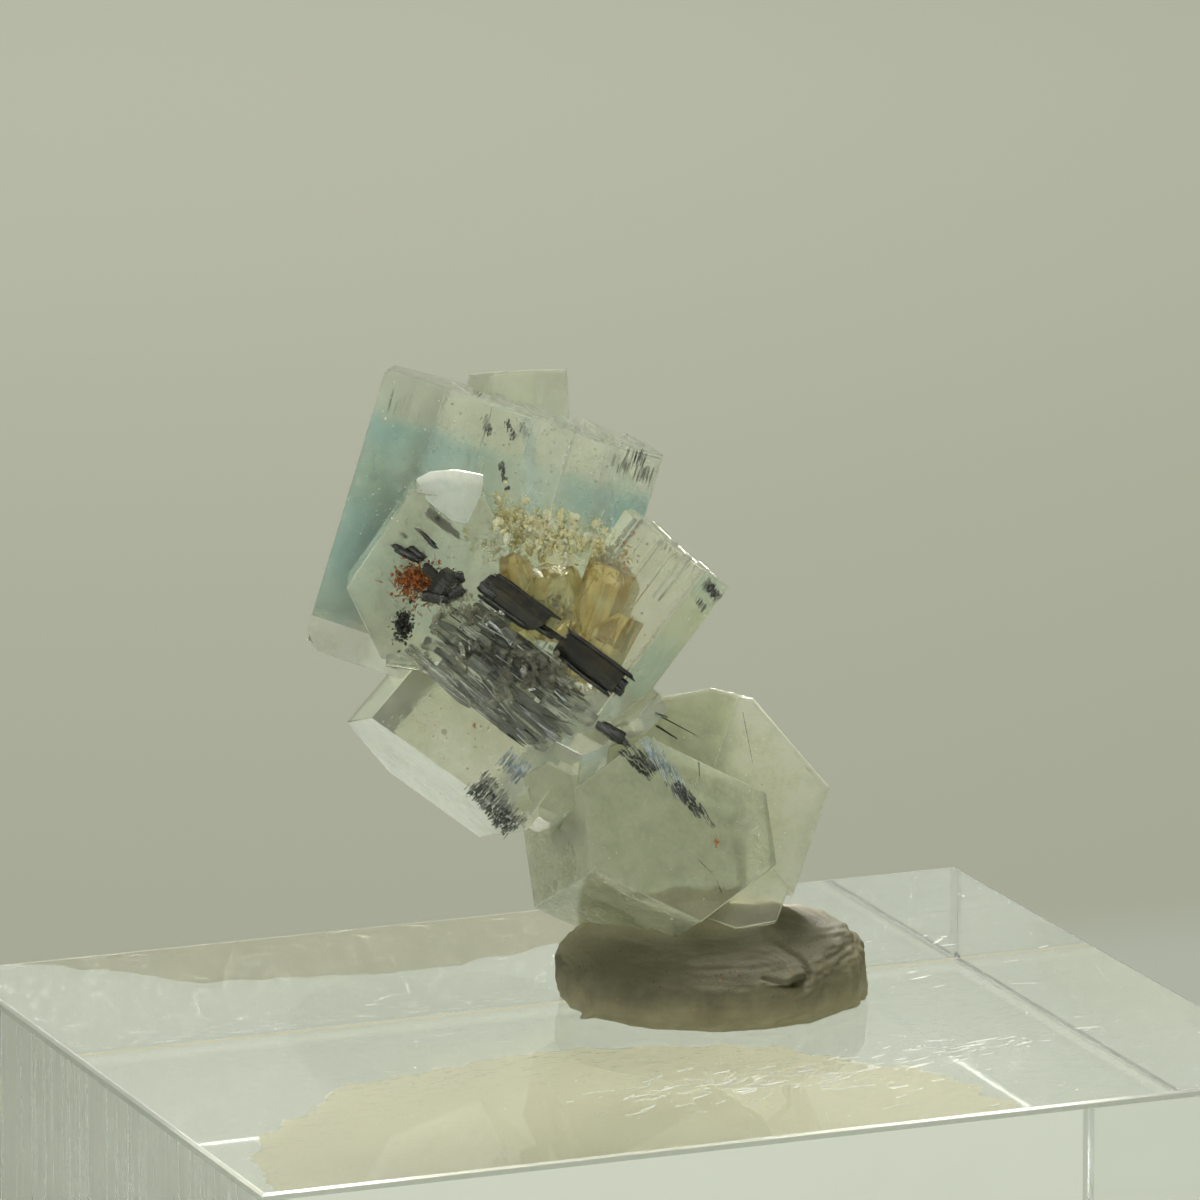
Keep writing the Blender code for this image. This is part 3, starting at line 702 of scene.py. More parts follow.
def quartz_material(settings):
    """Smoky quartz: yellow-brown clouds, orange stain in cracks."""
    made, shader, nodes = new_material("smoky_quartz", 0.78, 1.55)
    place = object_millimetres(nodes)
    clouds = nodes.add("ShaderNodeGroup", {"Vector": place, "Size": 1.1}, node_tree=cloud())
    fine = nodes.add("ShaderNodeGroup", {"Vector": place, "Size": 0.4}, node_tree=cloud())
    colour = nodes.blend(clouds.outputs["Cloud"], rgb(settings.quartz), rgb(settings.quartz_light))
    colour = nodes.blend(nodes.math("MULTIPLY", fine.outputs["Wisps"], 0.6), colour, rgb(settings.quartz_dark))
    nodes.tree.links.new(colour, shader.inputs["Base Color"])
    nodes.tree.links.new(nodes.ramp(fine.outputs["Cloud"], 0.0, 1.0, 0.02, 0.18), shader.inputs["Roughness"])
    return made


def grain_material(name, light, dark, size, transmission=0.0, roughness=0.6, depth=0.0):
    """A crust of grains whose colour changes from patch to patch."""
    made, shader, nodes = new_material(name, transmission, 1.5, roughness)
    place = object_millimetres(nodes)
    clouds = nodes.add("ShaderNodeGroup", {"Vector": place, "Size": size}, node_tree=cloud())
    fine = nodes.noise(place, 6.0, 3.0)
    colour = nodes.blend(clouds.outputs["Cloud"], rgb(dark), rgb(light))
    colour = nodes.blend(nodes.ramp(fine, 0.55, 0.7), colour, rgb([c * 1.12 for c in light]))
    nodes.tree.links.new(colour, shader.inputs["Base Color"])
    nodes.tree.links.new(nodes.ramp(fine, 0.3, 0.7, roughness * 0.6, min(1.0, roughness * 1.2)),
                         shader.inputs["Roughness"])
    nodes.tree.links.new(nodes.bump(fine, 0.6, 0.04 * MM), shader.inputs["Normal"])
    if depth:
        shader.inputs["Subsurface Weight"].default_value = 1.0
        shader.inputs["Subsurface Scale"].default_value = depth * MM
        shader.inputs["Subsurface Radius"].default_value = (1.0, 1.0, 0.9)
    return made


def tack_material(settings):
    """Kneaded tack: fine fold lines, pores, dark and orange specks, and painted light in a paler colour low on the wad
    and on upward faces at the back.
    """
    made, shader, nodes = new_material("mineral_tack", 0.0, 1.45, 0.6)
    place = object_millimetres(nodes)
    clouds = nodes.add("ShaderNodeGroup", {"Vector": place, "Size": 1.8}, node_tree=cloud())
    specks = nodes.add("ShaderNodeGroup", {"Vector": place, "Scale": 3.0, "Density": 0.42, "Radius": 0.24},
                       node_tree=flecks())
    rusty = nodes.add("ShaderNodeGroup", {"Vector": nodes.mapping(place, (5, 3, 1)), "Scale": 2.2,
                                          "Density": 0.2, "Radius": 0.22}, node_tree=flecks())
    colour = nodes.blend(nodes.ramp(clouds.outputs["Cloud"], 0.0, 1.0, 0.0, 0.35), rgb(settings.tack),
                         rgb([c * 0.72 for c in settings.tack]))
    fine = nodes.noise(place, 7.0, 5.0, 0.7)
    colour = nodes.blend(nodes.ramp(fine, 0.4, 0.75, 0.0, 0.35), colour,
                         rgb([c * 1.2 for c in settings.tack]))
    colour = nodes.blend(nodes.math("MULTIPLY", specks.outputs["Mask"], 0.85), colour, rgb(settings.dark))
    colour = nodes.blend(nodes.math("MULTIPLY", rusty.outputs["Mask"], 0.7), colour,
                         (0.30, 0.12, 0.04, 1.0))
    axes = nodes.add("ShaderNodeSeparateXYZ", {"Vector": place}).outputs
    height = nodes.math("SUBTRACT", axes["Z"], nodes.math("MULTIPLY", axes["X"], 0.08))
    height = nodes.math("ADD", height, nodes.math("MULTIPLY", nodes.noise(place, 0.9, 5.0), 1.6))
    # Painted light: paler towards the bottom of the wad, standing for bounce light off the block.
    colour = nodes.blend(nodes.ramp(height, 23.2, 20.0, 0.0, 1.0), colour, rgb(settings.foot))
    # Painted light: upward faces towards the back take the paler colour, a painted top light.
    upward = nodes.add("ShaderNodeSeparateXYZ", {"Vector": nodes.add("ShaderNodeNewGeometry").outputs["Normal"]})
    painted_top_light = nodes.math("MULTIPLY", nodes.ramp(upward.outputs["Z"], 0.2, 0.9, 0.0, 0.6),
                     nodes.ramp(axes["Y"], 1.0, 6.5))
    colour = nodes.blend(painted_top_light, colour, rgb(settings.foot))
    nodes.tree.links.new(colour, shader.inputs["Base Color"])
    nodes.tree.links.new(nodes.ramp(fine, 0.3, 0.7, 0.48, 0.72), shader.inputs["Roughness"])
    height = nodes.math("SUBTRACT", nodes.math("MULTIPLY", fine, 0.6), specks.outputs["Mask"])
    nodes.tree.links.new(nodes.bump(height, 0.9, 0.1 * MM), shader.inputs["Normal"])
    return made


def acrylic_material(settings):
    """Clear acrylic: scuffed top, saw marks on the left side, matt bevels, and a painted colour fringe of dispersed
    light along the back foot edge.
    """
    made, shader, nodes = new_material("clear_acrylic", 1.0, 1.49)
    place = object_millimetres(nodes)
    axes = nodes.add("ShaderNodeSeparateXYZ", {"Vector": place}).outputs
    half = settings.length / MM / 2
    saw_side = nodes.ramp(axes["X"], -half + 0.3, -half + 0.05)
    marks = nodes.noise(nodes.mapping(place, scale=(1.0, 1.0, 0.02)), 2.2, 5.0, 0.7)
    haze = nodes.noise(place, 0.25, 4.0)

    clear = nodes.blend(nodes.ramp(haze, 0.4, 0.7), rgb(settings.tint), rgb([c * 0.985 for c in settings.tint]))

    edges = [nodes.math("SUBTRACT", nodes.math("ABSOLUTE", axes[axis]), far)
             for axis, far in (("X", half - 0.28), ("Y", settings.depth / MM / 2 - 0.28))]
    rise = nodes.math("ABSOLUTE", nodes.math("SUBTRACT", axes["Z"], settings.height / MM / 2))
    edges.append(nodes.math("SUBTRACT", rise, settings.height / MM / 2 - 0.28))
    pairs = [nodes.math("MINIMUM", edges[a], edges[b]) for a, b in ((0, 1), (0, 2), (1, 2))]
    bevels = nodes.ramp(nodes.math("MAXIMUM", nodes.math("MAXIMUM", *pairs[:2]), pairs[2]), -0.02, 0.02)
    back = nodes.ramp(axes["Y"], 19.7, 19.8)
    # Painted light: gold low and blue higher, the colours of a fringe of dispersed light.
    line = nodes.blend(nodes.ramp(axes["Z"], 0.04, 0.2), (1.0, 0.72, 0.36, 1.0), (0.62, 0.78, 1.0, 1.0))
    streaks = nodes.noise(nodes.mapping(place, scale=(0.05, 0.0, 2.2)), 1.0, 4.0, 0.65)

    scuffs = nodes.mapping(place, rotation=(0.0, 0.0, -0.3), scale=(0.5, 4.0, 0.0))
    scuffs = nodes.ramp(nodes.noise(scuffs, 2.0, 4.0, 0.6), 0.62, 0.66)
    top = nodes.ramp(axes["Z"], settings.height / MM - 0.12, settings.height / MM - 0.05)
    where = nodes.add("ShaderNodeVectorMath", {0: nodes.mapping(place, (-5.5, 10.5, 0.0), scale=(0.8, 1.4, 0.0))},
                      operation="LENGTH").outputs["Value"]
    worn = nodes.math("MULTIPLY", top, nodes.ramp(where, 13.0, 6.0, 0.08, 0.4))
    scuffs = nodes.math("MULTIPLY", scuffs, worn)
    rough = nodes.math("ADD", nodes.ramp(haze, 0.35, 0.7, 0.01, 0.04),
                       nodes.math("MULTIPLY", saw_side, nodes.ramp(marks, 0.3, 0.7, 0.2, 0.4)))
    rough = nodes.math("ADD", rough, nodes.math("MULTIPLY", scuffs, 0.45))
    rough = nodes.math("ADD", rough, nodes.math("MULTIPLY", bevels, nodes.ramp(back, 0.0, 1.0, 0.5, 0.1)))
    hazy_back = nodes.math("MULTIPLY", nodes.ramp(axes["Y"], 19.9, 19.97), nodes.ramp(streaks, 0.5, 0.65, 0.0, 0.1))
    rough = nodes.math("ADD", rough, hazy_back)
    tint = nodes.blend(bevels, clear, (0.50, 0.53, 0.49, 1.0))
    # Painted light: the colour fringe is laid on the bevels at the back foot edge.
    painted_fringe_mask = nodes.math("MULTIPLY", nodes.math("MULTIPLY", back, bevels), nodes.ramp(axes["Z"], 0.4, 0.3))
    nodes.tree.links.new(nodes.blend(painted_fringe_mask, tint, line), shader.inputs["Base Color"])
    nodes.tree.links.new(rough, shader.inputs["Roughness"])
    height = nodes.math("MULTIPLY", marks, nodes.ramp(saw_side, 0.0, 1.0, 0.01, 0.12))
    height = nodes.math("SUBTRACT", height, nodes.math("MULTIPLY", scuffs, 0.5))
    nodes.tree.links.new(nodes.bump(height, 0.5, 0.1 * MM), shader.inputs["Normal"])
    return made


def floor_material(settings):
    """Pale near the viewer, sage behind the block, lighter in the distance. Its glow is painted light: brighter round
    the block and in front of it, and a painted pool of light under the block.
    """
    made, shader, nodes = new_material("stage_floor", 0.0, 1.45, 0.85)
    place = object_millimetres(nodes)
    axes = nodes.add("ShaderNodeSeparateXYZ", {"Vector": place}).outputs
    away = nodes.math("ADD", axes["Y"], nodes.math("MULTIPLY", nodes.noise(place, 0.01), 12.0))
    colour = nodes.blend(nodes.ramp(away, 74.0, 90.0), rgb(settings.pale), rgb(settings.sage))
    colour = nodes.blend(nodes.ramp(away, 130.0, 420.0), colour, rgb(settings.far))
    nodes.tree.links.new(nodes.blend(0.7, colour, (0.0, 0.0, 0.0, 1.0)), shader.inputs["Base Color"])
    nodes.tree.links.new(colour, shader.inputs["Emission Color"])
    # Painted light: the floor glows, more round the block and in front of it, and most under the block as a painted
    # pool of light.
    under = nodes.math("MULTIPLY", nodes.ramp(nodes.math("ABSOLUTE", axes["X"]), 27.0, 24.0),
                       nodes.ramp(nodes.math("ABSOLUTE", axes["Y"]), 22.0, 19.0))
    behind = nodes.math("MULTIPLY", nodes.ramp(axes["Y"], 72.0, 60.0), nodes.ramp(axes["X"], 50.0, 44.0))
    near = nodes.ramp(nodes.math("MAXIMUM", behind, nodes.ramp(axes["Y"], 60.0, 40.0)), 0.0, 1.0, 0.62, 1.42)
    nodes.tree.links.new(nodes.math("ADD", near, nodes.math("MULTIPLY", under, 0.65)),
                         shader.inputs["Emission Strength"])
    return made


# Shapes


def growth_steps(rows, centre, turn, foot):
    """Narrow crystals side by side on one axis, whose heads end at different heights."""
    found = []
    for place, width, head, front, pair in rows:
        sides = [front - 0.25, front - 0.1, front - 0.3, front - 0.2, front, front + 0.1]
        sides[pair] = place + width / 2
        sides[pair + 3] = width / 2 - place
        found.append(Crystal(centre, turn, tuple(sides), head, foot))
    return found


def needle_blank():
    """A six-sided needle two units long and two wide, one end pointed and one broken."""
    deselect()
    bpy.ops.mesh.primitive_cylinder_add(vertices=6, radius=1.0, depth=2.0, location=(0, 0, 0))
    blank = bpy.context.object
    select_verts(blank, lambda at: at.z > 0.5)
    bpy.ops.transform.resize(value=(0.45, 0.45, 1.0), center_override=(0, 0, 1))
    leave_edit()
    return blank


def splinter_blank(cuts=4, seed=1):
    """A flat striated splinter two units long, with grooves and broken ends."""
    deselect()
    bpy.ops.mesh.primitive_cylinder_add(vertices=10, radius=1.0, depth=2.0, location=(0, 0, 0))
    blank = bpy.context.object
    enter_edit(blank, "EDGE")
    bpy.ops.mesh.select_all(action="DESELECT")
    leave_edit()
    for edge in blank.data.edges:
        first, second = (blank.data.vertices[index].co for index in edge.vertices)
        edge.select = abs(first.z - second.z) > 1.0
    enter_edit(blank, "EDGE")
    bpy.ops.mesh.subdivide(number_cuts=cuts)
    leave_edit()
    pick = random.Random(seed)
    depth = [pick.uniform(0.72, 1.0) for _ in range(10)]
    slant = pick.uniform(-0.3, 0.3)
    for vert in blank.data.vertices:
        turn = math.atan2(vert.co.y, vert.co.x)
        column = round(turn / math.tau * 10) % 10
        vert.co.x *= depth[column]
        vert.co.y *= depth[column]
        if abs(vert.co.z) > 0.95:
            vert.co.z += slant * vert.co.x + pick.uniform(-0.08, 0.08)
            vert.co.x *= 0.9
            vert.co.y *= 0.9
    return blank


def slab_blank():
    """A flat slab with broken slanted ends, two units long, wide and thick."""
    deselect()
    bpy.ops.mesh.primitive_cube_add(size=2.0, location=(0, 0, 0))
    blank = bpy.context.object
    enter_edit(blank, "FACE")
    for normal in ((0.5, 0.2, 1.0), (-0.35, 0.3, -1.0), (0.9, 0.5, 0.15), (-0.9, 0.45, -0.1)):
        bpy.ops.mesh.select_all(action="SELECT")
        direction = Vector(normal).normalized()
        bpy.ops.mesh.bisect(plane_co=direction * 0.88, plane_no=direction, use_fill=True, clear_outer=True)
    bpy.ops.mesh.select_all(action="SELECT")
    bpy.ops.mesh.bevel(offset=0.03, segments=1, affect="EDGES")
    leave_edit()
    return blank


def grain_blank(seed=1):
    """A blunt grain of twenty faces, one unit in radius."""
    deselect()
    bpy.ops.mesh.primitive_ico_sphere_add(subdivisions=1, radius=1.0, location=(0, 0, 0))
    blank = bpy.context.object
    rough_up(blank, 0.35, 1.3, seed)
    enter_edit(blank)
    bpy.ops.mesh.select_all(action="SELECT")
    bpy.ops.transform.resize(value=(1.0, 0.85, 0.75))
    leave_edit()
    return blank


def lump_blank(seed=1):
    """A crumbly lump about one unit in radius."""
    deselect()
    bpy.ops.mesh.primitive_ico_sphere_add(subdivisions=3, radius=1.0, location=(0, 0, 0))
    blank = bpy.context.object
    for amount, scale in ((0.3, 1.4), (0.22, 3.5), (0.1, 8.0)):
        rough_up(blank, amount, scale, seed)
    return blank


def flake_blank(seed=1):
    """A thin chip with bevelled rim, two units across and 0.2 thick."""
    deselect()
    bpy.ops.mesh.primitive_cylinder_add(vertices=5, radius=1.0, depth=0.2, location=(0, 0, 0))
    blank = bpy.context.object
    rough_up(blank, 0.3, 1.1, seed)
    enter_edit(blank, "EDGE")
    bpy.ops.mesh.select_all(action="SELECT")
    bpy.ops.mesh.bevel(offset=0.05, segments=1, affect="EDGES")
    leave_edit()
    return blank


def random_turn(pick):
    return Euler([pick.uniform(0, math.tau) for _ in range(3)]).to_matrix()


def scattered(pick, centre, spread, count, low, high, tilt=0.0):
    """Places for grains inside an oval cloud that may slope to the right, small ones further out."""
    places = []
    for _ in range(count):
        offset = [pick.gauss(0.0, 0.5) for _ in range(3)]
        reach = min(1.0, math.sqrt(sum(value * value for value in offset)))
        shift = [value * half for value, half in zip(offset, spread)]
        shift[2] -= shift[0] * tilt
        at = [middle + value for middle, value in zip(centre, shift)]
        size = (low + (high - low) * pick.random() ** 2) * (1.15 - 0.5 * reach)
        scale = (size, size * pick.uniform(0.6, 1.0), size * pick.uniform(0.5, 1.0))
        places.append(place_matrix(at, random_turn(pick), scale))
    return places


def bundle_places(pick, rows):
    """Places for long pieces: centre, lean, tip, half length, half width and thickness."""
    return [place_matrix(centre, display_turn(lean, tip, pick.uniform(-25, 25)), (width, thick, length))
            for centre, lean, tip, length, width, thick in rows]


def skin_depth(skin, x, z):
    """Display depth at which a sight line through x and z meets the piece."""
    ahead = DISPLAY.to_3x3() @ Vector((0.0, 1.0, 0.0))
    hit, place, _, _ = skin.ray_cast(display_point(x, -40.0, z), ahead)
    return (DISPLAY.inverted() @ place).y / MM if hit else 0.0


def mark_rows(pick, skin, marks):
    """Rows of short bars just under a crystal's skin. A mark is the ends of a band, its width,
    the lean of its bars, their number, half length, half width and depth."""
    rows = []
    for start, end, width, lean, count, length, thick, under in marks:
        begin, band = Vector(start), Vector(end) - Vector(start)
        side = Vector((band.y, -band.x)).normalized() * width / 2
        for _ in range(count):
            at = begin + band * pick.random() + side * pick.uniform(-1, 1)
            depth = skin_depth(skin, at.x, at.y) + under * pick.uniform(0.6, 1.4)
            rows.append(((at.x, depth, at.y), lean + pick.gauss(0, 1.5), 4.0,
                         length * pick.uniform(0.4, 1.0), thick * pick.uniform(0.4, 1.0),
                         thick * pick.uniform(0.3, 0.6)))
    return rows


# Operators


class GrowBeryl(bpy.types.Operator):
    """Grow the beryl crystals into one piece"""

    bl_idname = "specimen.grow_beryl"
    bl_label = "Beryl crystals"
    bl_options = {"REGISTER", "UNDO"}

    def execute(self, context):
        settings = context.scene.specimen_beryl
        plate_zones = fade("X", -0.2, 1.3, settings.green, settings.green_light)
        blue = beryl_material("beryl_blue", BLUE_PRISM[0], settings.blue, 0.9, 0.5, blue_zones(settings))
        right = beryl_material("beryl_right", RIGHT_PRISM[0], settings.pale, 0.92, 0.5)
        lower = beryl_material("beryl_lower", LOWER_PRISM[0], settings.pale, 0.9, 0.5,
                               fade("X", -4.0, 3.0, settings.pale, settings.green_light))
        # Painted reflection: the lower crystal's end face is near white and lets little light through, standing for the
        # bright floor it mirrors.
        end = beryl_material("beryl_end_painted_reflection", LOWER_PRISM[0], (0.94, 0.99, 0.90), 0.2, 0.15)
        plate = beryl_material("beryl_plate", PLATES[0], settings.green, 0.79, 0.4, plate_zones)
        foot = beryl_material("beryl_foot", FOOT_PRISM[0], settings.green, 0.82, 0.4)
        pale = beryl_material("beryl_pale", BLUE_PRISM[0], settings.pale, 0.6, 0.5)
        # The window facet is tilted up to the key light; its whitish milky finish is a painted highlight for the light
        # it reflects.
        window_highlight = beryl_material("beryl_window_painted_highlight", WINDOW[0], (0.90, 0.97, 0.90), 0.6, 0.8)
        clear = beryl_material("beryl_clear", CLEAR_PRISM[0], settings.clear, 0.86, 0.3)
        groups = [
            (BLUE_PRISM + growth_steps(BLUE_STEPS, BLUE_CENTRE, BLUE_TURN, -5.0), blue),
            (RIGHT_PRISM + growth_steps(RIGHT_STEPS, RIGHT_CENTRE, RIGHT_TURN, -1.4), right),
            (BLUE_FOOT, pale), (LOWER_PRISM, lower), (LOWER_END, end), (PLATES, plate), (FOOT_PRISM, foot), (BUD, foot),
            (CLEAR_PRISM, clear), (WINDOW, window_highlight), (JOINT_PLATES, lower),
        ]
        grown = []
        for crystals, material in groups:
            for crystal in crystals:
                thing = cut_crystal(crystal, settings.edge)
                thing.data.materials.append(material)
                grown.append(thing)
        beryl = union(grown)
        finish_piece(beryl, "beryl_crystals", None, ("aquamarine_cluster",))
        return {"FINISHED"}


class GrowMarks(bpy.types.Operator):
    """Lay growth marks, needles, feathers and veils just under the skin of the beryl"""

    bl_idname = "specimen.grow_marks"
    bl_label = "Marks and needles"
    bl_options = {"REGISTER", "UNDO"}

    def execute(self, context):
        settings = context.scene.specimen_inclusions
        skin = bpy.data.objects["beryl_crystals"]
        pick = random.Random(31)

        grey = copies(splinter_blank(1, 3), bundle_places(pick, mark_rows(pick, skin, GREY_MARKS)))
        finish_piece(grey, "growth_marks_grey",
                     grain_material("mark_grey", (0.50, 0.52, 0.46), (0.24, 0.26, 0.23), 0.5, 0.75, 0.2))
        dark = copies(splinter_blank(1, 4), bundle_places(pick, mark_rows(pick, skin, DARK_MARKS)))
        finish_piece(dark, "growth_marks_dark",
                     grain_material("mark_dark", (0.16, 0.17, 0.15), (0.04, 0.043, 0.04), 0.5, 0.4, 0.2))
        blue = copies(splinter_blank(1, 6), bundle_places(pick, mark_rows(pick, skin, BLUE_MARKS)))
        finish_piece(blue, "feather_streaks",
                     grain_material("feather_blue", (0.80, 0.88, 0.94), (0.20, 0.30, 0.40), 0.4, 0.35, 0.15))

        rows = [(start_end, radius) for start_end, radius in LONG_NEEDLES]
        placed = []
        for ((x0, z0), (x1, z1)), radius in rows:
            middle = ((x0 + x1) / 2, (z0 + z1) / 2)
            length = math.hypot(x1 - x0, z1 - z0) / 2
            lean = math.degrees(math.atan2(x1 - x0, z1 - z0))
            depth = skin_depth(skin, *middle) - radius
            placed.append(((middle[0], depth, middle[1]), lean, 0.0, length, radius, radius))
        needles = copies(needle_blank(), bundle_places(pick, placed))
        finish_piece(needles, "black_needles", schorl_material(settings, "needle_black", 0.1))

        places = []
        for (x, z), (wide, high), count, low, top in WHITE_SPECKS:
            for _ in range(count):
                at_x, at_z = x + pick.gauss(0, wide / 2), z + pick.gauss(0, high / 2)
                depth = skin_depth(skin, at_x, at_z)
                if depth:
                    size = pick.uniform(low, top)
                    depth += pick.random() ** 2
                    places.append(place_matrix((at_x, depth, at_z), random_turn(pick), (size,) * 3))
        specks = copies(flake_blank(7), places)
        finish_piece(specks, "white_specks",
                     grain_material("speck_white", (0.92, 0.93, 0.88), (0.75, 0.78, 0.70), 0.6, 0.3, 0.15))

        places = []
        for (x, z), (wide, high), count, low, top in ORANGE_SPECKS:
            for _ in range(count):
                at_x, at_z = x + pick.gauss(0, wide / 2), z + pick.gauss(0, high / 2)
                depth = skin_depth(skin, at_x, at_z)
                if depth:
                    size = pick.uniform(low, top)
                    places.append(place_matrix((at_x, depth, at_z), random_turn(pick),
                                               (size, size * 0.7, size * 0.5)))
        stains = copies(grain_blank(11), places)
        finish_piece(stains, "orange_specks",
                     grain_material("speck_orange", (0.52, 0.24, 0.05), (0.30, 0.12, 0.03), 0.5, 0.0, 0.7))
        return {"FINISHED"}


# Bands of bars under the skin: start, end, width, lean, number, half length, half width, depth
GREY_MARKS = [
    ((-14.1, 24.2), (-13.0, 23.9), 0.5, 16.9, 26, 0.5, 0.014, 0.03),
    ((-12.7, 23.6), (-11.2, 23.2), 0.5, 16.9, 16, 0.35, 0.012, 0.03),
    ((-10.4, 24.6), (-9.9, 24.4), 0.3, 16.9, 18, 0.09, 0.036, 0.03),
    ((-9.75, 23.4), (-9.5, 22.7), 0.35, 16.9, 33, 0.13, 0.041, 0.03),
    ((-4.0, 21.4), (-2.2, 20.7), 0.5, 16.9, 60, 0.3, 0.04, 0.03),
    ((0.15, 16.0), (0.8, 15.2), 0.45, 36.8, 110, 0.13, 0.04, 0.03),
    ((-10.1, 7.1), (-8.3, 4.9), 1.2, -140.0, 260, 0.2, 0.05, 0.03),
    ((-2.0, 17.9), (-0.3, 16.4), 0.35, 36.8, 33, 0.13, 0.027, 0.03),
]
DARK_MARKS = [
    ((-9.6, 22.9), (-9.45, 22.6), 0.25, 16.9, 15, 0.07, 0.045, 0.01),
    ((-8.7, 23.2), (-8.4, 22.4), 0.3, 16.9, 51, 0.09, 0.041, 0.01),
    ((-8.1, 23.1), (-7.8, 22.4), 0.3, 16.9, 33, 0.07, 0.032, 0.01),
    ((-9.0, 21.4), (-8.7, 20.1), 0.24, 16.9, 60, 0.09, 0.041, 0.01),
    ((-3.3, 21.8), (-2.5, 21.4), 0.4, 16.9, 26, 0.32, 0.03, 0.01),
    ((-11.25, 24.05), (-11.15, 24.0), 0.1, 16.9, 4, 0.05, 0.045, 0.01),
    ((0.25, 15.9), (0.7, 15.3), 0.3, 36.8, 90, 0.10, 0.045, 0.01),
    ((-0.25, 15.2), (0.15, 14.75), 0.2, 36.8, 30, 0.16, 0.03, 0.01),
    ((-10.0, 6.8), (-8.5, 4.85), 0.8, -140.0, 190, 0.17, 0.05, 0.01),
    ((-3.4, 8.5), (-2.2, 7.4), 0.7, 140.0, 110, 0.2, 0.055, 0.01),
    ((-1.2, 6.9), (0.0, 5.6), 0.5, 150.0, 110, 0.2, 0.05, 0.01),
    ((0.15, 5.5), (0.6, 4.9), 0.25, 150.0, 14, 0.12, 0.035, 0.01),
    ((-4.4, 9.3), (-3.6, 8.8), 0.35, 120.0, 30, 0.09, 0.036, 0.01),
]
BLUE_MARKS = [
    ((-2.4, 8.7), (-0.9, 6.6), 0.6, 157.0, 70, 0.6, 0.035, 0.01),
    ((-8.9, 8.2), (-8.0, 7.2), 0.8, -140.0, 60, 0.3, 0.05, 0.03),
]
# Needles: two ends in display x and z, and radius
LONG_NEEDLES = [
    (((-2.05, 10.05), (-0.05, 8.98)), 0.035),
    (((-2.0, 9.5), (-1.05, 8.9)), 0.06),
    (((-2.1, 10.1), (-1.5, 9.9)), 0.05),
    (((-0.1, 7.9), (-0.05, 6.9)), 0.025),
    (((-14.2, 12.25), (-13.4, 11.95)), 0.03),
    (((1.9, 10.1), (2.7, 5.95)), 0.012),
    (((-12.2, 19.5), (-11.9, 19.2)), 0.02),
    (((0.7, 2.6), (1.1, 1.6)), 0.015),
    (((-0.2, 3.6), (0.5, 2.9)), 0.015),
]
# Specks: centre, spread, number, smallest and largest half size
WHITE_SPECKS = [
    ((4.2, 7.2), (3.0, 5.0), 170, 0.012, 0.06),
    ((2.0, 4.5), (4.0, 4.0), 140, 0.012, 0.06),
    ((-7.5, 22.8), (6.0, 1.2), 150, 0.02, 0.08),
    ((-13.6, 18.0), (2.0, 6.0), 120, 0.015, 0.07),
    ((-5.6, 21.0), (3.0, 1.8), 100, 0.02, 0.08),
    ((-1.0, 15.4), (2.4, 3.0), 120, 0.015, 0.07),
    ((-10.6, 7.6), (5.0, 3.0), 150, 0.012, 0.07),
    ((-12.0, 18.3), (3.0, 2.0), 70, 0.012, 0.06),
    ((-5.0, 2.6), (3.0, 2.0), 60, 0.015, 0.05),
]
ORANGE_SPECKS = [
    ((0.7, 4.25), (0.12, 0.2), 10, 0.05, 0.13),
    ((-0.05, 0.35), (0.15, 0.25), 14, 0.05, 0.13),
    ((-10.2, 9.55), (0.1, 0.15), 5, 0.04, 0.09),
    ((-12.3, 9.6), (1.2, 0.8), 60, 0.015, 0.05),
    ((-3.4, 13.2), (0.8, 2.4), 60, 0.02, 0.07),
    ((-3.3, 17.2), (0.7, 1.2), 70, 0.02, 0.08),
    ((0.5, 2.8), (1.2, 1.0), 10, 0.02, 0.06),
]


# Slabs of the bundle: display x and z, lean, half length, half width and depth
PALE_SLABS = [
    (-9.65, 10.5, 131, 2.0, 0.42, -4.3), (-8.48, 10.1, 130, 1.9, 0.8, -3.9), (-6.55, 10.2, 130, 0.8, 0.36, -4.2),
    (-7.4, 12.35, 126, 1.0, 0.5, -4.3), (-9.9, 12.27, 130, 0.55, 0.32, -4.75), (-5.3, 9.97, 125, 0.6, 0.36, -4.0),
    (-13.1, 12.4, 98, 1.0, 0.32, -4.0), (-11.7, 12.98, 112, 0.8, 0.3, -4.5), (-10.6, 13.9, 120, 1.4, 0.7, -3.9),
    (-8.7, 11.6, 130, 1.5, 0.5, -4.2), (-7.0, 11.3, 128, 1.2, 0.55, -4.0), (-10.4, 11.4, 131, 1.6, 0.35, -4.4),
]
DARK_SLABS = [
    (-10.36, 12.98, 129, 1.8, 0.42, -4.3), (-9.15, 12.52, 129, 1.3, 0.5, -4.35), (-11.7, 11.73, 134, 1.95, 0.26, -4.4),
    (-7.43, 9.72, 130, 1.3, 0.22, -4.35), (-6.47, 9.7, 130, 0.9, 0.16, -4.4), (-5.8, 10.76, 128, 0.8, 0.34, -4.3),
    (-8.4, 13.27, 124, 0.75, 0.45, -4.35), (-8.2, 10.9, 130, 1.2, 0.14, -4.5), (-9.4, 14.4, 118, 0.9, 0.3, -4.0),
    (-11.0, 12.2, 131, 1.2, 0.14, -4.6), (-7.8, 11.9, 128, 0.9, 0.16, -4.5), (-10.1, 13.6, 124, 0.8, 0.2, -4.7),
]
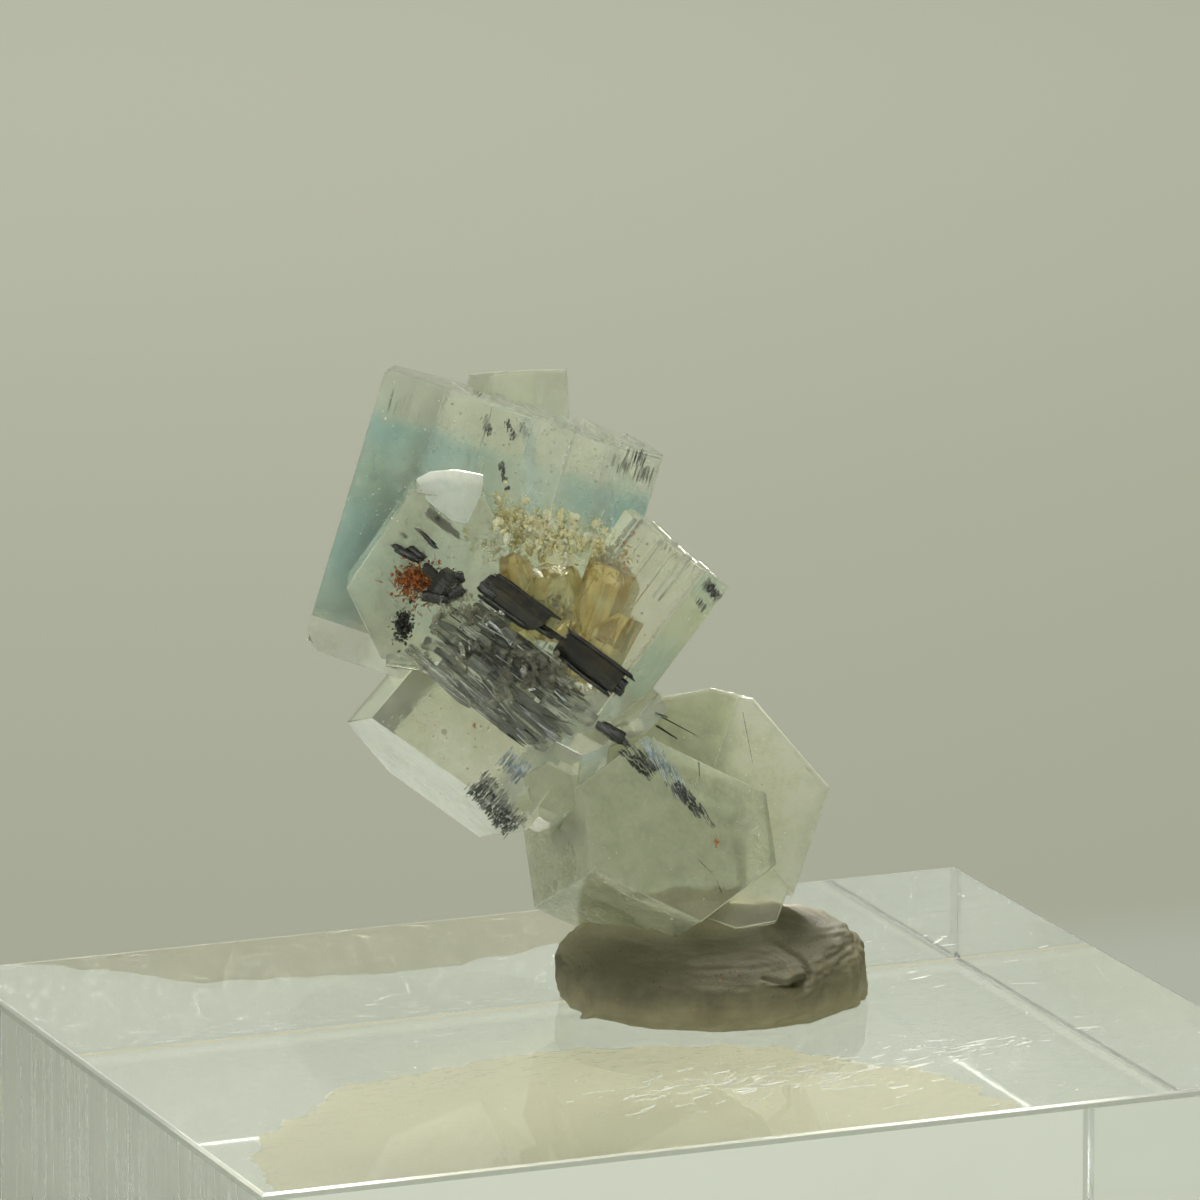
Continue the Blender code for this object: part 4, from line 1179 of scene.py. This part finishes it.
# Broken glassy chips: centre, spread, number, smallest and largest half size
GLASSY_CHIPS = [
    ((-10.6, 14.9), (2.2, 0.7), 70, 0.05, 0.2),
    ((-9.2, 12.6), (2.6, 1.6), 50, 0.05, 0.22),
    ((-7.0, 12.2), (1.2, 0.8), 45, 0.08, 0.3),
    ((-8.2, 10.2), (3.0, 1.4), 30, 0.05, 0.15),
    ((-12.4, 12.6), (1.4, 0.8), 30, 0.06, 0.2),
    ((-6.4, 14.9), (0.7, 0.7), 40, 0.06, 0.22),
]
GLASSY_BLOCKS = [
    ((-8.7, 12.5), (2.4, 1.2), 46, 0.14, 0.42), ((-7.0, 11.6), (1.6, 1.0), 22, 0.14, 0.4),
    ((-10.8, 14.6), (1.6, 0.5), 18, 0.1, 0.3), ((-9.3, 10.9), (1.6, 1.2), 14, 0.1, 0.3),
]
BUNDLE_LEAN = 128.5


class GrowSplinters(bpy.types.Operator):
    """Lay the grey splinters side by side"""

    bl_idname = "specimen.grow_splinters"
    bl_label = "Splinter bundle"
    bl_options = {"REGISTER", "UNDO"}

    def execute(self, context):
        settings = context.scene.specimen_inclusions
        pick = random.Random(41)
        along = Vector((0.783, 0.0, -0.623))
        across = Vector((0.623, 0.0, 0.783))
        middle = Vector((-8.8, 0.0, 11.6))

        def slab_rows(table):
            return [((x, depth, z), lean, pick.gauss(0, 4), length, width, width * pick.uniform(0.5, 0.8))
                    for x, z, lean, length, width, depth in table]

        pale, dark = slab_rows(PALE_SLABS), slab_rows(DARK_SLABS)
        for number in range(settings.splinters):
            side = pick.uniform(-1.8, 2.0)
            place = pick.uniform(-2.8, 3.0) * (1.0 - 0.12 * abs(side))
            centre = middle + along * place + across * side + Vector((0.0, pick.uniform(-4.6, -3.4), 0.0))
            stray = pick.gauss(0.0, 3.0)
            length, width = pick.uniform(0.4, 1.5), pick.uniform(0.03, 0.2)
            row = (centre, BUNDLE_LEAN + stray, stray, length, width, width * pick.uniform(0.5, 0.9))
            (dark if number % 3 == 0 else pale).append(row)
        glassy = copies(slab_blank(), bundle_places(pick, pale))
        finish_piece(glassy, "splinters_glassy",
                     splinter_material("splinter_glassy", settings.splinter, settings.splinter_dark, 0.56, 0.86),
                     ("splinter_bundle",))
        black = copies(slab_blank(), bundle_places(pick, dark))
        finish_piece(black, "splinters_dark",
                     splinter_material("splinter_dark", (0.70, 0.72, 0.60), (0.035, 0.037, 0.03), 0.5, 0.78),
                     ("splinter_bundle",))

        rows = []
        for _ in range(2 * settings.streaks):
            side = pick.uniform(-1.9, 2.1)
            place = pick.uniform(-3.4, 3.4) * (1.0 - 0.12 * abs(side))
            centre = middle + along * place + across * side + Vector((0.0, pick.uniform(-5.0, -4.3), 0.0))
            width = pick.uniform(0.012, 0.05)
            rows.append((centre, BUNDLE_LEAN + pick.gauss(0, 7), pick.gauss(0, 5), pick.uniform(0.1, 1.0),
                         width, width))
        # The light half of the rows are near-white needles, painted highlight lines along the bundle; the other half
        # are dark threads.
        light = copies(needle_blank(), bundle_places(pick, rows[::2]))
        finish_piece(light, "splinter_glints",
                     grain_material("glint_white", (0.97, 0.98, 0.90), (0.55, 0.62, 0.64), 0.6, 0.6, 0.12),
                     ("splinter_bundle",))
        threads = copies(needle_blank(), bundle_places(pick, rows[1::2]))
        finish_piece(threads, "splinter_threads",
                     grain_material("thread_dark", (0.05, 0.055, 0.045), (0.015, 0.016, 0.014), 0.6, 0.1, 0.15),
                     ("splinter_bundle",))

        places = []
        for (x, z), (wide, high), count, low, top in GLASSY_CHIPS:
            for _ in range(count):
                at = (x + pick.gauss(0, wide / 2), pick.uniform(-5.0, -4.3), z + pick.gauss(0, high / 2))
                size = pick.uniform(low, top)
                places.append(place_matrix(at, random_turn(pick), (size, size * pick.uniform(0.4, 1), size)))
        for (x, z), (wide, high), count, low, top in GLASSY_BLOCKS:
            for _ in range(count):
                at = (x + pick.gauss(0, wide / 2), pick.uniform(-4.9, -4.5), z + pick.gauss(0, high / 2))
                size = pick.uniform(low, top)
                places.append(place_matrix(at, random_turn(pick), (size, size * pick.uniform(0.5, 1), size * 2.5)))
        chips = copies(flake_blank(2), places)
        finish_piece(chips, "glassy_chips",
                     splinter_material("chip_glassy", (0.98, 0.96, 0.84), (0.42, 0.40, 0.30), 0.58, 0.88),
                     ("splinter_bundle",))
        return {"FINISHED"}


class GrowQuartz(bpy.types.Operator):
    """Grow the smoky quartz blocks"""

    bl_idname = "specimen.grow_quartz"
    bl_label = "Smoky quartz"
    bl_options = {"REGISTER", "UNDO"}

    def execute(self, context):
        settings = context.scene.specimen_inclusions
        blocks = union([cut_crystal(crystal, 0.03 * MM) for crystal in QUARTZ])
        finish_piece(blocks, "quartz_blocks", quartz_material(settings),
                     ("smoky_quartz",))
        return {"FINISHED"}


class GrowCrusts(bpy.types.Operator):
    """Scatter the yellow crust and the rust"""

    bl_idname = "specimen.grow_crusts"
    bl_label = "Crusts"
    bl_options = {"REGISTER", "UNDO"}

    def execute(self, context):
        settings = context.scene.specimen_inclusions
        pick = random.Random(7)
        places = []
        for centre, spread, share, low, high, tilt in YELLOW_PATCHES:
            places += scattered(pick, centre, spread, int(settings.grains * share), low, high, tilt)
        rows = []
        for centre, spread, share, _, high, tilt in YELLOW_PATCHES:
            for place in scattered(pick, centre, spread, int(settings.fibres * share), 0.02, 0.04, tilt):
                at = DISPLAY.inverted() @ place.translation / MM
                rows.append((at, pick.gauss(0, 60), pick.gauss(0, 30), high * pick.uniform(0.3, 1.1),
                             pick.uniform(0.015, 0.045), pick.uniform(0.015, 0.04)))
        skin = bpy.data.objects["beryl_crystals"]
        lumps = [(at.x, at.z, size) for at, size in self.lump_spots(pick, YELLOW_LUMPS)]
        lumps = [place_matrix((x, skin_depth(skin, x, z), z), random_turn(pick), (size, size * 0.7, size * 0.5))
                 for x, z, size in lumps]
        crust = join([copies(lump_blank(2), lumps), copies(grain_blank(3), places),
                      copies(needle_blank(), bundle_places(pick, rows))])
        finish_piece(crust, "yellow_grains",
                     grain_material("yellow_crust", settings.crust, (0.98, 0.88, 0.48), 0.9, 0.3, 0.35),
                     ("yellow_crust",))
        places = scattered(pick, (-12.75, -4.1, 16.1), (0.95, 0.25, 0.95), settings.rust_grains, 0.03, 0.17)
        places += scattered(pick, (-12.6, -4.1, 14.9), (0.8, 0.2, 0.9), settings.rust_grains // 4, 0.02, 0.09)
        lumps = [place_matrix((at.x, -3.95, at.z), random_turn(pick), (size, size * 0.5, size * 0.7))
                 for at, size in self.lump_spots(pick, RUST_LUMPS)]
        rows = []
        for place in scattered(pick, (-12.7, -4.1, 16.0), (1.1, 0.25, 1.1), settings.rust_grains // 2, 0.02, 0.04):
            at = DISPLAY.inverted() @ place.translation / MM
            rows.append((at, pick.gauss(0, 70), pick.gauss(0, 30), pick.uniform(0.06, 0.3),
                         pick.uniform(0.01, 0.03), pick.uniform(0.01, 0.03)))
        rust = join([copies(lump_blank(6), lumps), copies(grain_blank(5), places),
                     copies(needle_blank(), bundle_places(pick, rows))])
        finish_piece(rust, "rust_grains",
                     grain_material("iron_rust", settings.rust, (0.14, 0.04, 0.012), 0.35, 0.0, 0.8),
                     ("rust_crust",))
        return {"FINISHED"}

    @staticmethod
    def lump_spots(pick, table):
        """Places and sizes of the lumps in the patches of a table."""
        found = []
        for (x, z), (wide, high), count, low, top in table:
            for _ in range(count):
                shift = max(-wide, min(wide, pick.gauss(0, wide / 2)))
                at = Vector((x + shift, 0.0, z + pick.gauss(0, high / 2) - shift * 0.25))
                found.append((at, pick.uniform(low, top)))
        return found


# Lumps of the crusts: centre, spread, number, smallest and largest half size
YELLOW_LUMPS = [
    ((-7.2, 18.6), (1.9, 0.8), 60, 0.1, 0.3), ((-7.1, 17.5), (1.7, 0.6), 34, 0.1, 0.28),
    ((-4.6, 17.6), (0.7, 0.9), 12, 0.15, 0.35), ((-8.9, 18.4), (0.6, 0.4), 7, 0.12, 0.3),
]
RUST_LUMPS = [((-12.7, 16.0), (0.7, 0.8), 7, 0.15, 0.36), ((-13.2, 15.4), (0.5, 0.6), 4, 0.1, 0.2)]
# Patches of the yellow crust: centre, spreads, share of the grains, sizes and slope
YELLOW_PATCHES = [
    ((-7.4, -2.9, 18.5), (3.2, 0.5, 1.2), 0.40, 0.06, 0.30, 0.25),
    ((-6.6, -3.2, 17.7), (2.4, 0.5, 0.9), 0.25, 0.06, 0.26, 0.2),
    ((-4.3, -3.2, 17.6), (1.2, 0.4, 1.3), 0.20, 0.05, 0.22, 0.3),
    ((-9.6, -3.8, 17.6), (1.4, 0.4, 0.9), 0.15, 0.05, 0.20, 0.5),
]


# Long pieces of schorl: centre, lean, tip, half length, half width and thickness
SCHORL_ROWS = {
    "schorl_block": [
        ((-11.5, -4.35, 15.75), 35, 20, 0.75, 0.66, 0.5), ((-11.95, -4.4, 16.3), -50, 10, 0.6, 0.3, 0.3),
        ((-11.2, -4.3, 15.4), 60, 10, 0.6, 0.4, 0.4), ((-11.9, -4.5, 15.25), 100, 5, 0.6, 0.3, 0.3),
        ((-11.1, -4.4, 16.1), 80, 5, 0.5, 0.3, 0.3),
    ],
    "schorl_stub_left": [
        ((-13.45, -4.1, 17.45), 122, 10, 0.42, 0.17, 0.25), ((-13.15, -4.2, 17.2), 118, 15, 0.5, 0.2, 0.3),
        ((-12.75, -4.2, 17.25), 128, 10, 0.4, 0.22, 0.25), ((-12.85, -4.3, 17.0), 112, 10, 0.3, 0.14, 0.2),
        ((-12.35, -4.15, 18.0), 134, 8, 0.5, 0.12, 0.2), ((-12.15, -4.2, 17.75), 136, 8, 0.42, 0.1, 0.15),
        ((-13.3, -4.1, 18.05), 132, 8, 0.16, 0.09, 0.12),
    ],
    "schorl_stub_top": [
        ((-12.0, -4.05, 18.95), 132, 8, 0.35, 0.26, 0.3), ((-11.6, -3.98, 18.6), 130, 8, 0.45, 0.24, 0.25),
        ((-11.15, -3.95, 18.25), 126, 8, 0.4, 0.17, 0.2),
    ],
    "schorl_blade_upper": [
        ((-7.75, -4.85, 15.3), 127, 6, 1.6, 0.14, 0.3), ((-8.75, -4.8, 14.6), 125, 4, 1.3, 0.16, 0.3),
        ((-9.35, -4.8, 15.75), 126, 6, 0.45, 0.55, 0.3), ((-8.3, -4.85, 15.0), 126, 6, 1.0, 0.07, 0.3),
        ((-7.15, -4.8, 13.85), 122, 6, 0.7, 0.2, 0.25),
    ],
    "schorl_blade_lower": [
        ((-4.5, -4.45, 12.75), 126, 4, 1.75, 0.14, 0.3), ((-5.35, -4.45, 11.85), 127, 4, 1.4, 0.14, 0.3),
        ((-3.95, -4.45, 11.6), 127, 4, 0.65, 0.5, 0.3), ((-5.0, -4.5, 12.2), 125, 4, 1.2, 0.08, 0.3),
        ((-6.3, -4.5, 13.45), 124, 4, 0.9, 0.14, 0.2), ((-4.6, -4.5, 12.0), 127, 4, 1.2, 0.06, 0.3),
    ],
    "schorl_chip": [
        ((-4.0, -3.95, 9.2), 120, 10, 0.6, 0.35, 0.25), ((-4.3, -3.95, 9.45), 110, 10, 0.4, 0.2, 0.2),
        ((-3.6, -3.9, 8.95), 135, 10, 0.4, 0.18, 0.16),
    ],
}
# Brown see-through middles of the two blades
BLADES = {
    "schorl_blade_upper": Crystal((-8.2, -4.8, 15.0), (126.0, 6.0, 0.0),
                                  (0.6, 0.42, 0.42, 0.6, 0.42, 0.42), 1.55, 1.5, ((0, 35, 1.35),)),
    "schorl_blade_lower": Crystal((-4.9, -4.4, 12.3), (126.0, 4.0, 0.0),
                                  (0.55, 0.42, 0.42, 0.55, 0.42, 0.42), 1.5, 1.75, ((180, 145, 1.6),)),
}


class GrowSchorl(bpy.types.Operator):
    """Grow the black schorl crystals"""

    bl_idname = "specimen.grow_schorl"
    bl_label = "Schorl"
    bl_options = {"REGISTER", "UNDO"}

    def execute(self, context):
        settings = context.scene.specimen_inclusions
        pick = random.Random(19)
        black = schorl_material(settings, "schorl_black", 0.25)
        brown = blade_material(settings)
        for number, (node, rows) in enumerate(SCHORL_ROWS.items()):
            group = copies(splinter_blank(5, 20 + number), bundle_places(pick, rows))
            put_in_place(group, f"{node}_detail")
            rough_up(group, 0.035 * MM, 1800.0, number)
            finish_piece(group, f"{node}_detail", black, (node,))
        for node, crystal in BLADES.items():
            middle = cut_crystal(crystal, 0.02 * MM)
            finish_piece(middle, f"{node}_middle", brown, (node,))
        places = scattered(pick, (-13.35, -4.1, 14.0), (0.5, 0.3, 0.75), 160, 0.06, 0.24)
        grains = copies(grain_blank(9), places)
        finish_piece(grains, "schorl_grains_detail", black, ("schorl_grains",))
        return {"FINISHED"}


def blade_material(settings):
    """Schorl thin enough to let brown light through, hatched along and across."""
    made, shader, nodes = new_material("schorl_blade", 0.45, 1.62)
    turn = (DISPLAY.to_3x3() @ Vector((0.81, 0.0, -0.588))).to_track_quat("Z", "Y").to_matrix().transposed()
    coords = nodes.add("ShaderNodeTexCoord").outputs["Object"]
    place = nodes.mapping(coords, (0, 0, 0), tuple(turn.to_euler()), (1000, 1000, 1000))
    lines = nodes.add("ShaderNodeGroup", {"Vector": place, "Fineness": 8.0, "Stretch": 0.06},
                      node_tree=growth_lines())
    across = nodes.noise(nodes.mapping(place, scale=(0.2, 0.2, 4.0)), 1.6, 2.0)
    hatch = nodes.math("MAXIMUM", nodes.ramp(lines.outputs["Lines"], 0.5, 0.62),
                       nodes.ramp(across, 0.56, 0.66))
    clouds = nodes.add("ShaderNodeGroup", {"Vector": place, "Size": 0.9}, node_tree=cloud())
    thin = nodes.math("MULTIPLY", nodes.math("SUBTRACT", 1.0, hatch), clouds.outputs["Cloud"])
    colour = nodes.blend(thin, rgb(settings.schorl), rgb(settings.schorl_brown))
    nodes.tree.links.new(colour, shader.inputs["Base Color"])
    nodes.tree.links.new(nodes.ramp(lines.outputs["Lines"], 0.3, 0.7, 0.05, 0.25), shader.inputs["Roughness"])
    nodes.tree.links.new(nodes.bump(lines.outputs["Lines"], 0.5, 0.04 * MM), shader.inputs["Normal"])
    return made


class ShapeTack(bpy.types.Operator):
    """Shape the wad of tack"""

    bl_idname = "specimen.shape_tack"
    bl_label = "Mineral tack"
    bl_options = {"REGISTER", "UNDO"}

    def execute(self, context):
        settings = context.scene.specimen_tack
        deselect()
        bpy.ops.mesh.primitive_uv_sphere_add(segments=400, ring_count=200, radius=1.0, location=(0, 0, 0))
        wad = bpy.context.object
        for vert in wad.data.vertices:
            vert.co = tack_point(vert.co, settings)
        wad.location = Vector((5.1, 2.55, 20.02)) * MM
        wad.rotation_euler.z = math.radians(-22.0)
        only(wad)
        bpy.ops.object.shade_smooth()
        finish_piece(wad, "tack_wad_detail", tack_material(settings), ("tack_wad",))
        return {"FINISHED"}


# The fold on the wad's front, as seen from the front: right and up in millimetres
FOLD = [(2.2, 2.85), (2.8, 2.5), (3.34, 2.18), (3.85, 1.88), (4.13, 1.6), (4.28, 1.15), (4.2, 0.86),
        (4.0, 0.72), (3.7, 0.7)]
CREASE = [(3.8, 0.72), (3.3, 0.62), (2.8, 0.8), (2.3, 0.95)]
RIDGE_CENTRE = (1.85, 0.39)
LIP_CENTRE = (3.7, 1.0)


def near_line(x, up, line):
    """Distance from a bent line and whether the point lies to its right."""
    best, side = 1e9, 1.0
    for (x0, u0), (x1, u1) in zip(line, line[1:]):
        run, rise = x1 - x0, u1 - u0
        share = max(0.0, min(1.0, ((x - x0) * run + (up - u0) * rise) / (run * run + rise * rise)))
        gap = math.hypot(x - x0 - run * share, up - u0 - rise * share)
        if gap < best:
            best = gap
            side = 1.0 if (x - x0) * rise - (up - u0) * run > 0 else -1.0
    return best, side


def bell(distance, width):
    return math.exp(-(distance / width) ** 2)


def front_relief(x, up):
    """Height of the folds, ridges and dents on the wad's front, in millimetres."""
    gap, side = near_line(x, up, FOLD)
    relief = -0.42 * bell(gap, 0.12)
    relief += (0.42 if side > 0 else 0.10) * bell(gap - 0.55, 0.5)
    relief -= 0.2 * bell(near_line(x, up, CREASE)[0], 0.1)
    out = math.hypot(x - RIDGE_CENTRE[0], up - RIDGE_CENTRE[1])
    around = math.degrees(math.atan2(up - RIDGE_CENTRE[1], x - RIDGE_CENTRE[0]))
    ridges = bell((around - 75.0) / 60.0, 1.0) * bell(out - 1.75, 0.6)
    relief += 0.045 * ridges * math.sin(out * 30.0 + 2.5 * noise.noise(Vector((x, up, 3.0))))
    out = math.hypot(x - LIP_CENTRE[0], up - LIP_CENTRE[1])
    relief += (0.03 if x > LIP_CENTRE[0] else 0.0) * bell(out - 1.1, 0.5) * math.sin(out * 17.0)
    relief -= 0.75 * bell(math.hypot((x + 4.2) / 2.3, (up - 1.9) / 1.0), 1.0)
    relief += 0.22 * bell(math.hypot((x + 1.3) / 0.6, (up - 2.3) / 0.9), 1.0)
    relief += 0.18 * bell(math.hypot((x - 0.4) / 1.8, (up - 1.3) / 0.8), 1.0)
    relief += 0.55 * bell(math.hypot(x + 5.45, (up + 0.72) * 1.2), 0.2)
    return relief


def tack_point(unit, settings):
    """A point of the kneaded wad from a point of the unit sphere, in metres."""
    x, y, z = unit
    flat = max(1e-6, math.hypot(x, y))
    blunt = 0.6 + 0.34 * max(0.0, -y / flat) ** 2
    reach = flat ** blunt
    lump = noise.noise(Vector((x * 2.3, y * 2.3, z * 1.5 + 4.0)))
    swell = reach / flat * (1.0 + 0.04 * lump)
    if z > 0:
        pressed = 1.0 - 0.3 * math.exp(-(reach / 0.6) ** 2)
        lip = 1.0 + 0.3 * max(0.0, x) * (0.6 + 0.4 * y)
        height = settings.height * z ** blunt * pressed * lip
    else:
        height = -2.1 * MM * (-z) ** 0.6
    place = Vector((x * settings.half_length * swell, y * settings.half_depth * swell,
                    height + 0.12 * MM * lump))
    outward = Vector((x * reach / flat, y * reach / flat, z)).normalized()
    seen_right, seen_up = place.x / MM, (place.z / MM + 1.2) * 0.974 + place.y / MM * 0.226
    grip = max(0.0, min(1.0, 0.35 - y * 1.6)) * max(0.0, min(1.0, 1.25 - z * 1.1))
    relief = front_relief(seen_right, seen_up) * grip
    crumple = Vector((x * 3.0, y * 3.0, z * 3.0))
    relief += 0.10 * noise.noise(crumple * 1.4) + 0.05 * noise.noise(crumple * 4.0)
    relief += 0.06 * (1.0 - grip) * math.sin(18.0 * noise.noise(crumple * 0.5 + Vector((2.0, 5.0, 1.0))))
    ragged = noise.noise(Vector((x * 9.0, y * 9.0, z * 2.0)))
    relief += 0.22 * max(0.0, ragged) * bell(place.z / MM + 1.2, 0.5)
    relief += 0.25 * ragged * bell((x - 0.97) / 0.12, 1.0)
    place += outward * relief * MM
    place.z = max(0.0, place.z + 1.2 * MM)
    return place


class CastBlock(bpy.types.Operator):
    """Cast the acrylic block"""

    bl_idname = "specimen.cast_block"
    bl_label = "Acrylic block"
    bl_options = {"REGISTER", "UNDO"}

    def execute(self, context):
        settings = context.scene.specimen_block
        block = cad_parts["acrylic_block"]
        block.data.materials.clear()
        block.data.materials.append(acrylic_material(settings))

        deselect()
        bpy.ops.mesh.primitive_cylinder_add(vertices=720, radius=settings.film_radius, depth=0.02 * MM,
                                            location=(0.0, 0.0, 0.0))
        film = bpy.context.object
        for vert in film.data.vertices:
            out = Vector((vert.co.x, vert.co.y, 0.0)).normalized()
            vert.co += out * MM * (1.1 * noise.noise(out * 3.0) + 0.7 * noise.noise(out * 11.0)
                                   + 0.25 * noise.noise(out * 40.0))
        film.scale = (1.06, 0.97, 1.0)
        film.location = Vector((-0.4, -4.0, 0.04)) * MM
        finish_piece(film, "old_film",
                     grain_material("old_film", settings.film, [c * 0.96 for c in settings.film], 5.0, 0.93, 0.6))

        pick = random.Random(5)
        places = []
        for (x, y), (wide, deep), count in SCUFF_PATCHES:
            for _ in range(count):
                turn = Matrix.Rotation(math.radians(pick.gauss(14, 12)), 4, "Z")
                scale = (pick.uniform(0.1, 0.8), pick.uniform(0.03, 0.09), 0.15)
                at = Vector((x + pick.gauss(0, wide / 2), y + pick.gauss(0, deep / 2), settings.height / MM))
                places.append(Matrix.Translation(at * MM) @ turn @ Matrix.Diagonal((*[c * MM for c in scale], 1.0)))
        # Real scuffs on the top, their white colour a painted glint of the lamp they mirror.
        scuffs = copies(flake_blank(4), places)
        finish_piece(scuffs, "block_scuffs",
                     grain_material("scuff_painted_glint", (0.97, 0.98, 0.95), (0.85, 0.88, 0.84), 0.6, 0.25, 0.2))
        return {"FINISHED"}


# Scuffs on the block's top, white where they would mirror the lamp, a painted glint: centre, spread and number
SCUFF_PATCHES = [
    ((3.5, -11.0), (7.0, 2.6), 90), ((12.0, -9.5), (5.0, 1.4), 40), ((-3.0, -11.5), (6.0, 3.0), 25),
    ((5.0, -15.0), (10.0, 3.0), 14), ((16.0, 2.0), (5.0, 8.0), 14),
]


class SetStage(bpy.types.Operator):
    """Set the floor, the lights and the camera"""

    bl_idname = "specimen.set_stage"
    bl_label = "Stage"
    bl_options = {"REGISTER", "UNDO"}

    def execute(self, context):
        settings = context.scene.specimen_stage
        scene = context.scene
        deselect()
        bpy.ops.mesh.primitive_plane_add(size=6.0, location=(0, 0, FLOOR_DROP))
        floor = bpy.context.object
        floor.name = "stage_floor"
        floor.data.materials.append(floor_material(settings))

        world = bpy.data.worlds.new("soft_room")
        world.use_nodes = True
        scene.world = world
        background = world.node_tree.nodes["Background"]
        background.inputs["Color"].default_value = (0.88, 0.90, 0.74, 1.0)
        nodes = Nodes(world.node_tree)
        toward = nodes.add("ShaderNodeTexCoord").outputs["Generated"]
        facing = nodes.add("ShaderNodeVectorMath", {0: toward, 1: (0.36, 0.88, 0.3)},
                           operation="DOT_PRODUCT").outputs["Value"]
        nodes.tree.links.new(nodes.ramp(facing, -0.5, 0.5, 0.42, 0.50), background.inputs["Strength"])

        for name, place, size, power, tint in (
                ("key_softbox", (0.16, 0.26, 0.48), 0.16, settings.key, (1.0, 0.97, 0.86)),
                ("fill_lamp", (-0.30, -0.30, 0.42), 0.05, settings.fill, (0.95, 0.98, 1.0)),
                ("card_low", (-0.27, -0.20, 0.03), 0.12, settings.card, (0.95, 1.0, 0.98)),
                ("glint_lamp", (0.12, 0.45, 0.28), 0.08, settings.glint, (1.0, 0.97, 0.92))):
            lamp = bpy.data.lights.new(name, "AREA")
            lamp.size = size
            lamp.energy = power
            lamp.color = tint
            thing = bpy.data.objects.new(name, lamp)
            scene.collection.objects.link(thing)
            thing.location = place
            aim = Vector((0.0, 0.0, 0.03)) - Vector(place)
            thing.rotation_euler = aim.to_track_quat("-Z", "Y").to_euler()

        lens = bpy.data.cameras.new("specimen_camera")
        lens.lens = 330.0
        lens.sensor_width = 36.0
        camera = bpy.data.objects.new("specimen_camera", lens)
        scene.collection.objects.link(camera)
        camera.location = (-0.18091, -0.43940, 0.14958)
        look = Vector((0.36854, 0.90173, -0.22597))
        camera.rotation_euler = look.to_track_quat("-Z", "Y").to_euler()
        scene.camera = camera
        scene.view_settings.view_transform = "Standard"
        return {"FINISHED"}


class SpecimenPanel(bpy.types.Panel):
    """Buttons for the pieces and their sizes and colours"""

    bl_idname = "VIEW3D_PT_specimen"
    bl_label = "Aquamarine specimen"
    bl_space_type = "VIEW_3D"
    bl_region_type = "UI"
    bl_category = "Specimen"

    def draw(self, context):
        for operator in OPERATORS:
            self.layout.operator(operator.bl_idname)
        for name, group in SETTINGS.items():
            box = self.layout.box()
            box.label(text=group.__doc__)
            for prop in group.__annotations__:
                box.prop(getattr(context.scene, name), prop)


OPERATORS = (SetStage, CastBlock, ShapeTack, GrowBeryl, GrowSplinters, GrowQuartz, GrowCrusts,
             GrowSchorl, GrowMarks)


def register():
    for group in SETTINGS.values():
        bpy.utils.register_class(group)
    for operator in OPERATORS:
        bpy.utils.register_class(operator)
    bpy.utils.register_class(SpecimenPanel)
    for name, group in SETTINGS.items():
        setattr(bpy.types.Scene, name, PointerProperty(type=group))


def unregister():
    for name in SETTINGS:
        delattr(bpy.types.Scene, name)
    bpy.utils.unregister_class(SpecimenPanel)
    for operator in reversed(OPERATORS):
        bpy.utils.unregister_class(operator)
    for group in SETTINGS.values():
        bpy.utils.unregister_class(group)


def main():
    register()
    bpy.ops.specimen.set_stage()
    bpy.ops.specimen.cast_block()
    bpy.ops.specimen.shape_tack()
    bpy.ops.specimen.grow_beryl()
    bpy.ops.specimen.grow_splinters()
    bpy.ops.specimen.grow_quartz()
    bpy.ops.specimen.grow_crusts()
    bpy.ops.specimen.grow_schorl()
    bpy.ops.specimen.grow_marks()


if __name__ == "__main__":
    main()
